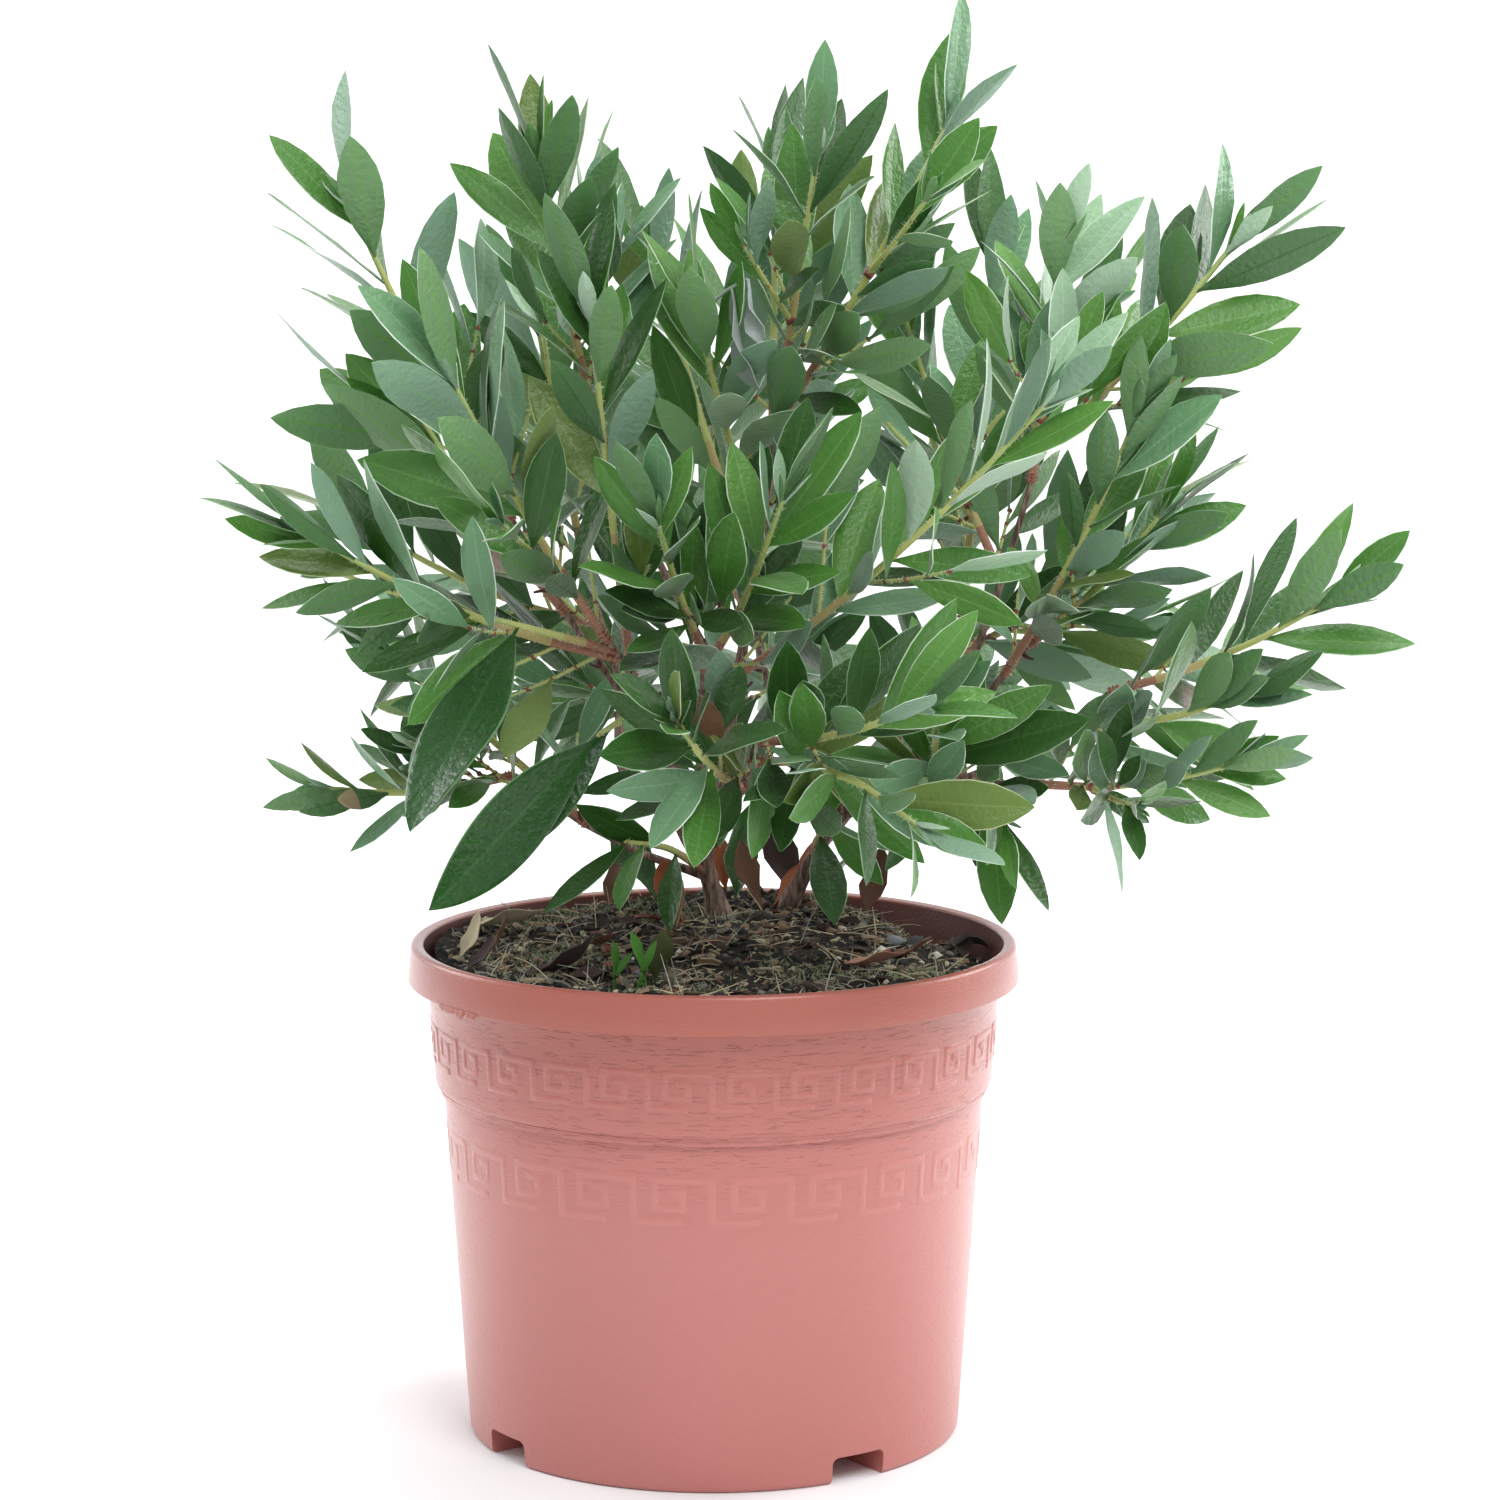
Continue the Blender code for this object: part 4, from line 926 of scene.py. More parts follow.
def grow_shoot(space, shoot, stem):
    """Side twigs and leaves of one shoot, exactly as in the solids."""
    chance = random.Random(shoot.seed)
    turn = chance.uniform(0.0, TURN)
    twigs = grow_twigs(space, shoot, stem, chance)
    rivals = []
    leaves = []
    for path in twigs:
        size = shoot.leaf * TWIG_LEAF_SHARE
        leaves += grow_leaves(space, shoot, path, TWIG_LEAVES, size, turn, chance, rivals)
    leaves += grow_leaves(space, shoot, stem, shoot.leaves, shoot.leaf, turn, chance, rivals)
    return twigs, leaves, rivals


def grow_tuft(space, shoot, path, chance):
    """Young leaves, still nearly closed, at the tip of one twig."""
    leaves = []
    turn = chance.uniform(0.0, TURN)
    spot, axis = along(path, 1.0)
    for k in range(TUFT_LEAVES):
        turn += math.radians(GOLDEN_ANGLE)
        share = k / (TUFT_LEAVES - 1)
        slant = math.radians(TUFT_SLANT) * (1.0 - TUFT_SHRINK * share) * chance.uniform(*TUFT_SLANTS)
        length = shoot.leaf * TUFT_LEAF * (1.0 - TUFT_SHRINK * share) * chance.uniform(*TUFT_LENGTHS)
        root = spot - axis * TUFT_STEP * (1.0 - share)
        direction, face = leaf_pose(axis, turn, slant, 0.0, 0.0)
        points = leaf_points(root, direction, face, length)
        if space.own(shoot.name, points, 0.0) and space.in_reach(points) and space.clear_of_pot(points):
            leaves.append(Leaf(root, direction, face, length, 1.0, "tuft"))
    return leaves


def grow_finer(space, shoot, stem, twigs, rivals):
    """Finer twigs, the leaves between the large ones and a tuft at each tip."""
    chance = random.Random(FINE_SEED + shoot.fine)
    fine = []
    leaves = []
    if shoot.leaf > LARGE_LEAF:
        return fine, leaves
    space.gap = FINE_GAP
    space.boxed = True
    turn = chance.uniform(0.0, TURN)
    count = round(FILL_LEAF_SHARE * shoot.leaves)
    leaves += grow_leaves(space, shoot, stem, count, shoot.leaf * FILL_LEAF, turn, chance, rivals, "fill")
    for k in range(round(FINE_TWIG_SHARE * shoot.leaves)):
        turn = chance.uniform(0.0, TURN)
        share = FINE_FIRST + FINE_SPACING * k
        path, samples = side_twig(stem, share, turn, FINE_SLANT, FINE_REACH, FINE_SPREAD, chance)
        if not space.own(shoot.name, samples, FINE_GAP) or not space.clear_of_pot(samples):
            continue
        grown = grow_leaves(space, shoot, path, FINE_LEAVES, shoot.leaf, turn, chance, rivals, "fine")
        if grown:
            fine.append(path)
            leaves += grown
    for path in [stem, *twigs]:
        leaves += grow_tuft(space, shoot, path, chance)
    space.gap = LEAF_GAP
    space.boxed = False
    return fine, leaves


class Joined:
    """One mesh gathered from many small shapes, each face with its own finish."""

    def __init__(self):
        self.points = []
        self.faces = []
        self.looks = []
        self.count = 0

    def add(self, points, faces, looks):
        """Add one shape; looks is a finish name, or one name for each face."""
        self.points.append(np.asarray(points, dtype=float))
        self.faces += [tuple(index + self.count for index in face) for face in faces]
        self.looks += [looks] * len(faces) if isinstance(looks, str) else list(looks)
        self.count += len(points)

    def build(self, name, finishes, sharp=60.0):
        """The mesh object, with only the finishes that it wears."""
        mesh = bpy.data.meshes.new(name)
        mesh.from_pydata((np.vstack(self.points) * MM).tolist(), [], self.faces)
        worn = sorted(set(self.looks))
        for look in worn:
            mesh.materials.append(finishes[look])
        index = {look: k for k, look in enumerate(worn)}
        mesh.polygons.foreach_set("material_index", [index[look] for look in self.looks])
        mesh.shade_smooth()
        mesh.set_sharp_from_angle(angle=math.radians(sharp))
        mesh.update()
        item = bpy.data.objects.new(name, mesh)
        bpy.context.scene.collection.objects.link(item)
        return item


def wear(piece, replaced=None):
    """Let a piece ride on the part and in place of its solid if it has one."""
    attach(piece, "root")
    if replaced:
        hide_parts(replaced)


def ring_quads(rows, sides, start=0, inward=False):
    """Faces between the rings of points of a closed shell, the first ring at index start."""
    faces = []
    for row in range(rows - 1):
        low = start + row * sides
        high = low + sides
        for k in range(sides):
            after = (k + 1) % sides
            if inward:
                faces.append((low + k, high + k, high + after, low + after))
            else:
                faces.append((low + k, low + after, high + after, high + k))
    return faces


def blade_of(rows, half, depth):
    """One kind of blade, from its rows and half its upper columns: grid, faces and their parts."""
    columns = np.array([*(-column for column in reversed(half)), *half, *UNDER_COLUMNS])
    under = np.array([0.0] * (2 * len(half)) + [1.0] * len(UNDER_COLUMNS))
    strip = [UPPER] * (len(half) - 2)
    parts = [MARGIN, *strip, RIB, *strip, MARGIN, *UNDER_PARTS] * (len(rows) - 1)
    whole = len(columns)
    faces = ring_quads(len(rows), whole)
    faces.append(tuple(reversed(range(whole))))
    faces.append(tuple(range((len(rows) - 1) * whole, len(rows) * whole)))
    return Blade(rows, columns, under, faces, [*parts, LOWER, MARGIN], depth)


PLAIN_BLADE = blade_of(BLADE_ROWS, BLADE_COLUMNS, 0.0)
VEINED_BLADE = blade_of(VEINED_ROWS, VEINED_COLUMNS, VEIN_DEPTH)


def blade_outline(rows):
    """Share of the full width along a blade: drawn out at its foot, blunt at its head."""
    widest = BLADE_FOOT_TAPER / (BLADE_FOOT_TAPER + BLADE_HEAD_TAPER)
    full = widest ** BLADE_FOOT_TAPER * (1.0 - widest) ** BLADE_HEAD_TAPER
    return rows ** BLADE_FOOT_TAPER * (1.0 - rows) ** BLADE_HEAD_TAPER / full


def bent_steps(length, rows, shares):
    """Distance gone at each row of a bent blade, of which each step keeps a share."""
    return length * np.concatenate([[0.0], np.cumsum(np.diff(rows) * shares[1:])])


def blade_points(blade, root, direction, face, length, form):
    """Points of a leaf blade: arched, folded along its rib, twisted, waved and closed below."""
    rows = blade.rows
    half = blade_outline(np.clip((rows - BLADE_NECK) / (1.0 - BLADE_NECK), 0.0, 1.0))
    half = np.maximum(form.width * length / 2 * half, BLADE_PETIOLE * (1.0 - rows) + BLADE_TIP)
    side = np.cross(direction, face)
    bend = form.arch * rows + form.curl * rows ** 3
    ahead = bent_steps(length, rows, np.cos(bend))
    sink = bent_steps(length, rows, np.sin(bend))
    turn = form.twist * rows
    columns = blade.columns
    spread = np.abs(columns)
    edge = np.where(spread > EDGE_COLUMN, 1.0, 0.0)
    pucker = blade.depth * PUCKER * spread * (1.0 - spread) * (1.0 - blade.under)
    points = []
    for k in range(len(rows)):
        normal = math.cos(bend[k]) * face + math.sin(bend[k]) * direction
        beside = math.cos(turn[k]) * side + math.sin(turn[k]) * normal
        over = math.cos(turn[k]) * normal - math.sin(turn[k]) * side
        centre = root + direction * ahead[k] - face * sink[k]
        height = form.fold * spread ** FOLD_POWER * half[k]
        height += form.wave * half[k] * np.sin(TURN * (WAVES * rows[k] + form.phase)) * columns
        veins = np.cos(TURN * (VEINS * rows[k] - VEIN_RISE * spread))
        height += pucker * veins * math.sin(math.pi * rows[k])
        height -= edge * min(EDGE_DROP, EDGE_DROP_SHARE * half[k])
        height -= blade.under * (RIB_THICKNESS * (1.0 - RIB_THINNING * rows[k]))
        points.append(centre + np.outer(columns * half[k], beside) + np.outer(height, over))
    return np.vstack(points)


def add_blade(joined, root, direction, face, length, form, look, tip_look=None, blade=PLAIN_BLADE):
    """One leaf in its own colours, its outer half in another where that is dead."""
    looks = [look[part] for part in blade.parts]
    if tip_look:
        first = int(np.searchsorted(blade.rows, DEAD_FROM_SHARE)) * len(blade.columns)
        looks[first:] = [tip_look[part] for part in blade.parts[first:]]
    joined.add(blade_points(blade, root, direction, face, length, form), blade.faces, looks)


def tube_mesh(path, radii, sides, relief=None):
    """Points and faces of a round tube along a path, its ends closed."""
    points = []
    side, up = across(unit(path[1] - path[0]))
    for k, centre in enumerate(path):
        direction = unit(path[min(k + 1, len(path) - 1)] - path[max(k - 1, 0)])
        side = unit(side - direction * np.dot(side, direction))
        up = np.cross(side, direction)
        for j in range(sides):
            angle = TURN * j / sides
            outward = math.cos(angle) * side + math.sin(angle) * up
            radius = radii[k] * (1.0 if relief is None else 1.0 + relief(centre, angle))
            points.append(centre + radius * outward)
    end = (len(path) - 1) * sides
    first, last = tuple(range(sides)), tuple(reversed(range(end, end + sides)))
    return points, [first, *ring_quads(len(path), sides, inward=True), last]


def smooth_path(path, step, passes=3):
    """The same route with a point every step, its corners rounded."""
    count = max(3, round(steps_of(path).sum() / step))
    fine = np.array([along(path, t)[0] for t in np.linspace(0.0, 1.0, count + 1)])
    for _ in range(passes):
        fine[1:-1] = (fine[:-2] + 2 * fine[1:-1] + fine[2:]) / 4
    return fine


def srgb(red, green, blue):
    """A colour as linear numbers, from 0 to 255 as seen on a screen."""
    shares = [value / 255.0 for value in (red, green, blue)]
    return tuple(c / 12.92 if c <= 0.04045 else ((c + 0.055) / 1.055) ** 2.4 for c in shares)


class Surface:
    """One material, built up from its Principled shader."""

    def __init__(self, name):
        self.material = bpy.data.materials.new(name)
        self.material.use_nodes = True
        self.nodes = self.material.node_tree.nodes
        self.links = self.material.node_tree.links
        self.shader = self.nodes["Principled BSDF"]

    def fill(self, node, inputs):
        """Give a node's inputs their values, or link them to other nodes' outputs."""
        for name, value in inputs.items():
            if isinstance(value, bpy.types.NodeSocket):
                self.links.new(value, node.inputs[name])
            else:
                node.inputs[name].default_value = value

    def node(self, kind, output, **inputs):
        """A new node's output, its inputs filled in by name, with _ for a space."""
        node = self.nodes.new("ShaderNode" + kind)
        self.fill(node, {name.replace("_", " "): value for name, value in inputs.items()})
        return node.outputs[output]

    def combine(self, operation, *values):
        """The result of a sum with values or outputs."""
        node = self.nodes.new("ShaderNodeMath")
        node.operation = operation
        self.fill(node, dict(enumerate(values)))
        return node.outputs["Value"]

    def noise(self, scale, detail=3.0, stretch=None):
        """Noise in the object's own space, stretched if asked."""
        where = self.node("TexCoord", "Object")
        if stretch:
            where = self.node("Mapping", "Vector", Vector=where, Scale=stretch)
        return self.node("TexNoise", "Fac", Vector=where, Scale=scale, Detail=detail)

    def height_share(self, low, high, start, end):
        """A value that runs from start to end between two heights in millimetres."""
        split = self.node("SeparateXYZ", "Z", Vector=self.node("TexCoord", "Object"))
        limits = {"From_Min": low * MM, "From_Max": high * MM, "To_Min": start, "To_Max": end}
        return self.node("MapRange", "Result", Value=split, **limits)

    def roughen(self, value, low, high):
        """Let a value vary the roughness between two limits."""
        spread = self.node("MapRange", "Result", Value=value, To_Min=low, To_Max=high)
        self.fill(self.shader, {"Roughness": spread})

    def raise_by(self, value, height, **inputs):
        """Let a value raise the surface by a height in millimetres; returns the new normal."""
        normal = self.node("Bump", "Normal", Height=value, Distance=height * MM, **inputs)
        self.fill(self.shader, {"Normal": normal})
        return normal

    def paint(self, value, stops):
        """Colour the surface along a value, from (value, colour) stops."""
        node = self.nodes.new("ShaderNodeValToRGB")
        elements = node.color_ramp.elements
        while len(elements) < len(stops):
            elements.new(0.5)
        for element, (share, colour) in zip(elements, stops):
            element.position = share
            element.color = (*srgb(*colour), 1.0)
        self.fill(node, {"Fac": value})
        self.fill(self.shader, {"Base Color": node.outputs["Color"]})


def plain_surface(name, colour, low, high, scale, height):
    """One plain colour with a fine grain and an uneven gloss."""
    surface = Surface(name)
    surface.fill(surface.shader, {"Base Color": (*srgb(*colour), 1.0)})
    grain = surface.noise(scale)
    surface.roughen(grain, low, high)
    surface.raise_by(grain, height)
    return surface


def leaf_finish(name, colour, sheen, glossy):
    """A leathery leaf face: one colour, fine pitting and a soft down."""
    surface = plain_surface(name, colour, *(GLOSSY_LEAF if glossy else MATT_LEAF))
    surface.fill(surface.shader, {**LEAF_SHADER, "Sheen Weight": sheen})
    return surface.material


def pot_finish(name, paler, cracked):
    """Moulded terracotta-coloured plastic: painted shade, darker at the tier top and lip and lighter lower
    down as if lit from the floor, soft gloss and level wrinkles.
    """
    surface = Surface(name)
    # Painted shade by height: the tier top under the lip and the lip go darker, the lower body lighter as if
    # lit by the floor's bounce light
    height = surface.height_share(0.0, POT_HEIGHT, 0.0, 1.0)
    uneven = surface.combine("MULTIPLY_ADD", surface.noise(*POT_CLOUD_NOISE), POT_CLOUDS, height)
    # For the raised key every colour is lifted lighter throughout, a painted highlight
    surface.paint(uneven, [(share, [value + paler for value in colour]) for share, colour in POT_SHADED_COLOURS])
    grain = surface.noise(1.0, 4.0, POT_GRAIN)
    surface.roughen(grain, *POT_ROUGHNESS)
    fine = surface.raise_by(grain, POT_GRAIN_HEIGHT)
    wrinkles = surface.noise(1.0, 2.0, POT_WRINKLES)
    cracks = surface.node("MapRange", "Result", Value=wrinkles, From_Min=CRACKS_FROM, From_Max=CRACKS_TO)
    lip_base = POT_HEIGHT - LIP_HEIGHT
    rise = surface.height_share(LEDGE_HEIGHT - CRACKS_FADE, LEDGE_HEIGHT, 0.0, CRACKS_TIER)
    fall = surface.height_share(lip_base - CRACKS_LIP_FADE, lip_base, 1.0, CRACKS_LIP)
    surface.raise_by(cracks, cracked, Strength=surface.combine("MULTIPLY", rise, fall), Normal=fine)
    surface.fill(surface.shader, POT_SHADER)
    return surface.material


def rough_finish(name, colours, roughness, noise_values, relief, relief_noise):
    """A dull uneven surface: coloured by a noise, and raised by another or the same."""
    surface = Surface(name)
    pattern = surface.noise(*noise_values)
    surface.paint(pattern, colours)
    surface.fill(surface.shader, {"Roughness": roughness})
    surface.raise_by(surface.noise(*relief_noise) if relief_noise else pattern, relief)
    return surface.material


def make_finishes():
    """Every finish of the shrub, its pot and its compost, by name."""
    finishes = {
        "pot": pot_finish("pot_plastic", 0, POT_CRACKS),
        # The raised key lines wear a lighter copy of the pot's finish: a painted highlight
        "pot_key": pot_finish("pot_key_highlighted_plastic", KEY_HIGHLIGHT_LIFT, KEY_CRACKS),
        "soil": rough_finish("compost", *COMPOST_SURFACE),
        "bark": rough_finish("bark", *BARK_SURFACE),
        # The inside wall's finish carries painted shade
        "pot_inside": plain_surface("pot_inside", POT_INSIDE_SHADE_COLOUR, *POT_INSIDE).material,
    }
    for tone, colours in LEAF_TONES.items():
        for name, part, colour in zip(look_of(tone), Look._fields, colours):
            sheen = DOWNY_SHEEN if part == "margin" or tone == "silver" else LEAF_SHEEN
            finishes[name] = leaf_finish(name, colour, sheen, tone == "glossy")
    for name, colour in TWIG_COLOURS.items():
        finishes[name] = plain_surface(name, colour, *TWIG_SKIN).material
    for name, colour in LITTER_COLOURS.items():
        finishes[name] = plain_surface(name, colour, *LITTER_SKIN).material
    return finishes


def look_of(tone):
    """The four finishes of one leaf tone."""
    return Look(*("leaf_" + tone + "_" + part for part in Look._fields))


def pick(chance, weights):
    """One name, dealt by weight."""
    names = [name for name, _ in weights]
    return chance.choices(names, [weight for _, weight in weights])[0]


def leaf_tone(shoot, leaf, chance):
    """The tone of one leaf, by its height in the crown, its age on the shoot and how far right it stands,
    where lighter tones are partly painted light.
    """
    if shoot.name in NEW_SHOOTS and (leaf.kind == "tuft" or leaf.share > NEW_FROM_SHARE):
        return pick(chance, NEW_TONES)
    if leaf.kind == "tuft":
        return pick(chance, TIP_TONES)
    if shoot.leaf > LARGE_LEAF:
        return "glossy"
    # Leaves further right take lighter tones: partly painted light for the stronger light on that side
    height = leaf.root[2] + AGE_PALER * (leaf.share - 0.5) + RIGHT_LIT_PALER * leaf.root[0]
    return pick(chance, LOW_TONES if height < LOW_CROWN else HIGH_TONES)


def leaf_form(leaf, chance):
    """How one leaf is folded, arched, twisted and waved."""
    young = leaf.kind == "tuft"
    share = YOUNG_WIDTH if young else LARGE_WIDTH if leaf.length > LARGE_LEAF else 1.0
    form = Form(*(chance.uniform(*span) if span else 0.0 for span in (YOUNG_FORM if young else GROWN_FORM)))
    return form._replace(width=BLADE_WIDTH * share * form.width)


def octahedron(centre, axis, radius, length):
    """Points and faces of a small pointed bead along an axis."""
    side, up = across(axis)
    points = [centre - axis * length, centre + axis * length]
    points += [centre + side * radius, centre + up * radius, centre - side * radius, centre - up * radius]
    faces = []
    for k in range(4):
        low = 2 + k
        after = 2 + (k + 1) % 4
        faces.append((0, after, low))
        faces.append((1, low, after))
    return points, faces


def add_down(joined, path, radii, chance):
    """Short pale hairs that stand out all round a twig."""
    for _ in range(round(steps_of(path).sum() * DOWN_PER_MM)):
        share = chance.random()
        spot, axis = along(path, share)
        outward = outward_from(axis, chance.uniform(0.0, TURN))
        beside = np.cross(axis, outward)
        foot = spot + outward * DOWN_SUNK * radii[int(share * (len(radii) - 1))]
        lean = unit(outward + chance.uniform(-DOWN_LEAN, DOWN_LEAN) * axis)
        tip = foot + lean * chance.uniform(*DOWN_LENGTHS)
        points = [foot + DOWN_RADIUS * (a * axis + b * beside) for a, b in DOWN_CORNERS]
        joined.add([*points, tip], [(0, 1, 2), (1, 0, 3), (2, 1, 3), (0, 2, 3)], "down")


def add_stem(joined, path, start_radius, end_radius, looks, chance):
    """One downy twig, with its finish changing from foot to tip."""
    fine = smooth_path(path, STEM_PIECE)
    radii = np.linspace(start_radius, end_radius, len(fine))
    points, faces = tube_mesh(fine, radii, STEM_SIDES)
    names = []
    for k in range(len(fine) - 1):
        share = k / (len(fine) - 1)
        names += [looks[min(len(looks) - 1, int(share * len(looks)))]] * STEM_SIDES
    joined.add(points, faces, [names[0], *names, names[-1]])
    add_down(joined, fine, radii, chance)
    bud = octahedron(fine[-1], unit(fine[-1] - fine[-2]), end_radius * BUD_WIDTH, end_radius * BUD_LENGTH)
    joined.add(*bud, "twig_young")


def add_collar(joined, path):
    """The ring of old bud scales at the foot of one season's growth."""
    for k in range(COLLAR_RINGS):
        spot, axis = along(path, COLLAR_FIRST + COLLAR_STEP * k)
        joined.add(*octahedron(spot, axis, COLLAR_RADIUS, COLLAR_LENGTH), "node_red")


def add_withered(joined, stem, tip):
    """A dead twig at the end of a stem, with two grey leaves that hang curled from it."""
    twig = bent_path(stem[-1], place(*tip), WITHERED_BOW, WITHERED_STEP)
    radii = np.linspace(*WITHERED_RADII, len(twig))
    joined.add(*tube_mesh(twig, radii, WITHERED_SIDES), "leaf_withered_under")
    for share, heading, length, twist in WITHERED_LEAVES:
        direction, face = tilted(heading, -WITHERED_DIP)
        form = WITHERED_FORM._replace(twist=twist)
        add_blade(joined, along(twig, share)[0], direction, face, length, form, look_of("withered"))


def twigs_of(shoot, stem, twigs, fine):
    """The stem of a shoot with its twigs, old wood below and young above."""
    wood = Joined()
    chance = random.Random(DOWN_SEED + shoot.seed)
    young = STEM_LOOKS[2:]
    add_stem(wood, stem, STEM_GROWTH * SHOOT_BASE_RADIUS, STEM_GROWTH * SHOOT_TIP_RADIUS, STEM_LOOKS, chance)
    add_collar(wood, stem)
    for path in twigs:
        add_stem(wood, path, STEM_GROWTH * TWIG_RADIUS, SHOOT_TIP_RADIUS, young, chance)
        add_collar(wood, path)
    for path in fine:
        add_stem(wood, path, *FINE_RADII, young, chance)
    return wood


def dress_shoot(space, shoot, stem, finishes):
    """The twigs and leaves that replace one mass of foliage."""
    twigs, leaves, rivals = grow_shoot(space, shoot, stem)
    fine, more = grow_finer(space, shoot, stem, twigs, rivals)
    chance = random.Random(2 * FINE_SEED + shoot.seed)
    wood = twigs_of(shoot, stem, twigs, fine)
    green = Joined()
    blade = VEINED_BLADE if shoot.leaf > LARGE_LEAF else PLAIN_BLADE
    lowest = min(range(len(leaves)), key=lambda k: leaves[k].root[2])
    for k, leaf in enumerate(leaves + more):
        look = look_of(leaf_tone(shoot, leaf, chance))
        form = leaf_form(leaf, chance)
        dead = look_of("dry") if k == lowest and shoot.name in SCORCHED_SHOOTS else None
        length = leaf.length * (LARGE_GROWTH if leaf.length > LARGE_LEAF else 1.0)
        add_blade(green, leaf.root, leaf.direction, leaf.face, length, form, look, dead, blade)
        if leaf.kind != "tuft":
            wood.add(*octahedron(leaf.root, leaf.direction, LEAF_BASE_RADIUS, LEAF_BASE_LENGTH), "node_red")
    if shoot.name in WITHERED:
        add_withered(green, stem, WITHERED[shoot.name])
    name = shoot.name.replace("shoot_", "")
    wear(green.build("leaves_" + name, finishes), shoot.name)
    wear(wood.build("twigs_" + name, finishes), shoot.name)


def bark_relief(offset):
    """A relief function: long ridges and shallow dents along one limb."""
    def relief(centre, angle):
        x, y = BARK_RIDGES * math.cos(angle), BARK_RIDGES * math.sin(angle)
        ring = Vector((x + offset, y, BARK_GRAIN * centre[2]))
        return BARK_RELIEF * (noise.noise(ring) + 0.5 * noise.noise(ring * BARK_DETAIL))
    return relief


def add_spurs(joined, path, radii, chance):
    """Short dead side shoots of one bough."""
    for share in SPUR_SHARES:
        share += SPUR_SPREAD * chance.uniform(-1.0, 1.0)
        spot, axis = along(path, share)
        outward = outward_from(axis, chance.uniform(0.0, TURN))
        direction = unit(outward + chance.uniform(*SPUR_LEAN) * axis)
        foot = spot + outward * SPUR_SUNK * radii[int(share * (len(radii) - 1))]
        length = chance.uniform(*SPUR_LENGTHS)
        route = bent_path(foot, foot + direction * length, chance.uniform(*SPUR_BOW), length / 4)
        thick = np.linspace(SPUR_RADIUS, SPUR_TAPER * SPUR_RADIUS, len(route))
        joined.add(*tube_mesh(route, thick, SPUR_SIDES), "twig_dead")


def make_bark(paths, radii, finishes):
    """Trunks and boughs with the relief of their bark."""
    for index, limb in enumerate([*TRUNKS, *BOUGHS]):
        path = paths[limb.name]
        fine = smooth_path(path, BARK_STEP, BARK_PASSES)
        shares = np.linspace(0.0, 1.0, len(fine))
        size = np.interp(shares, np.linspace(0.0, 1.0, len(path)), radii[limb.name])
        if limb in TRUNKS:
            size = limb_radii(limb, fine, True)
        else:
            swell = BOUGH_SWELL * np.exp(-shares * steps_of(path).sum() / BOUGH_SWELL_LENGTH)
            size = size * (1.0 + swell)
        points, faces = tube_mesh(fine, size, BARK_SIDES, bark_relief(BARK_OFFSET * index))
        if limb in TRUNKS:
            for point in points[:BARK_SIDES]:
                point[2] = SOIL_CROWN_HEIGHT - TRUNK_SUNK
        joined = Joined()
        joined.add(points, faces, "bark")
        if limb in BOUGHS:
            add_spurs(joined, fine, size, random.Random(SPUR_SEED + index))
        wear(joined.build("bark_" + limb.name, finishes), limb.name)


def arc(centre_radius, centre_height, radius, start, end):
    """Points of a profile along an arc, by angle in degrees from outwards to upwards."""
    angles = [math.radians(start + (end - start) * k / ARC_STEPS) for k in range(ARC_STEPS + 1)]
    return [(centre_radius + radius * math.cos(a), centre_height + radius * math.sin(a)) for a in angles]


def pot_profile():
    """The pot's section, from the middle of its underside up the outside and down the inside."""
    lip_base = POT_HEIGHT - LIP_HEIGHT
    edge = LEDGE_HEIGHT + RING_HEIGHT
    rise = TIER_ROUNDING * math.sin(math.radians(TIER_ARC))
    rim_base = POT_HEIGHT - RIM_INNER_DROP - RIM_ROUNDING
    inside = (lip_base, TIER_LOW_HEIGHT, LEDGE_HEIGHT, FLOOR_THICKNESS)
    return [
        (0.0, 0.0),
        *arc(FOOT_RADIUS - FOOT_ROUNDING, FOOT_ROUNDING, FOOT_ROUNDING, -90.0, 0.0),
        *((outer_radius(height), height) for height in WALL_HEIGHTS),
        *((LEDGE_RADIUS - GROOVE_DEPTH, LEDGE_HEIGHT - drop) for drop in GROOVE_DROPS),
        (RING_RADIUS, LEDGE_HEIGHT),
        (RING_RADIUS + RING_LEAN, edge - BEAD_SEAT * BEAD_RADIUS),
        *arc(RING_RADIUS + BEAD_PROUD, edge - BEAD_RADIUS, BEAD_RADIUS, -BEAD_ARC, BEAD_ARC),
        *arc(TIER_LOW_RADIUS - TIER_ROUNDING, edge + rise, TIER_ROUNDING, -TIER_ARC, 0.0),
        *((outer_radius(height), height) for height in (*TIER_HEIGHTS, lip_base - LIP_EDGE)),
        (TIER_TOP_RADIUS + LIP_FILLET, lip_base),
        *arc(LIP_RADIUS - LIP_EDGE, lip_base + LIP_EDGE, LIP_EDGE, -90.0, 0.0),
        (LIP_RADIUS - LIP_WAIST, lip_base + LIP_WAIST_HEIGHT),
        *arc(LIP_TOP_RADIUS - LIP_ROUNDING, POT_HEIGHT - LIP_ROUNDING, LIP_ROUNDING, 0.0, 90.0),
        *arc(RIM_INNER_RADIUS + RIM_ROUNDING, rim_base, RIM_ROUNDING, 90.0, 180.0),
        *((inner_radius(height), height) for height in inside),
        (0.0, FLOOR_THICKNESS),
    ]


def ring_points(radius, height, sides):
    """Points round the pot's axis at a radius and a height."""
    angles = [TURN * k / sides for k in range(sides)]
    return [(radius * math.cos(angle), radius * math.sin(angle), height) for angle in angles]


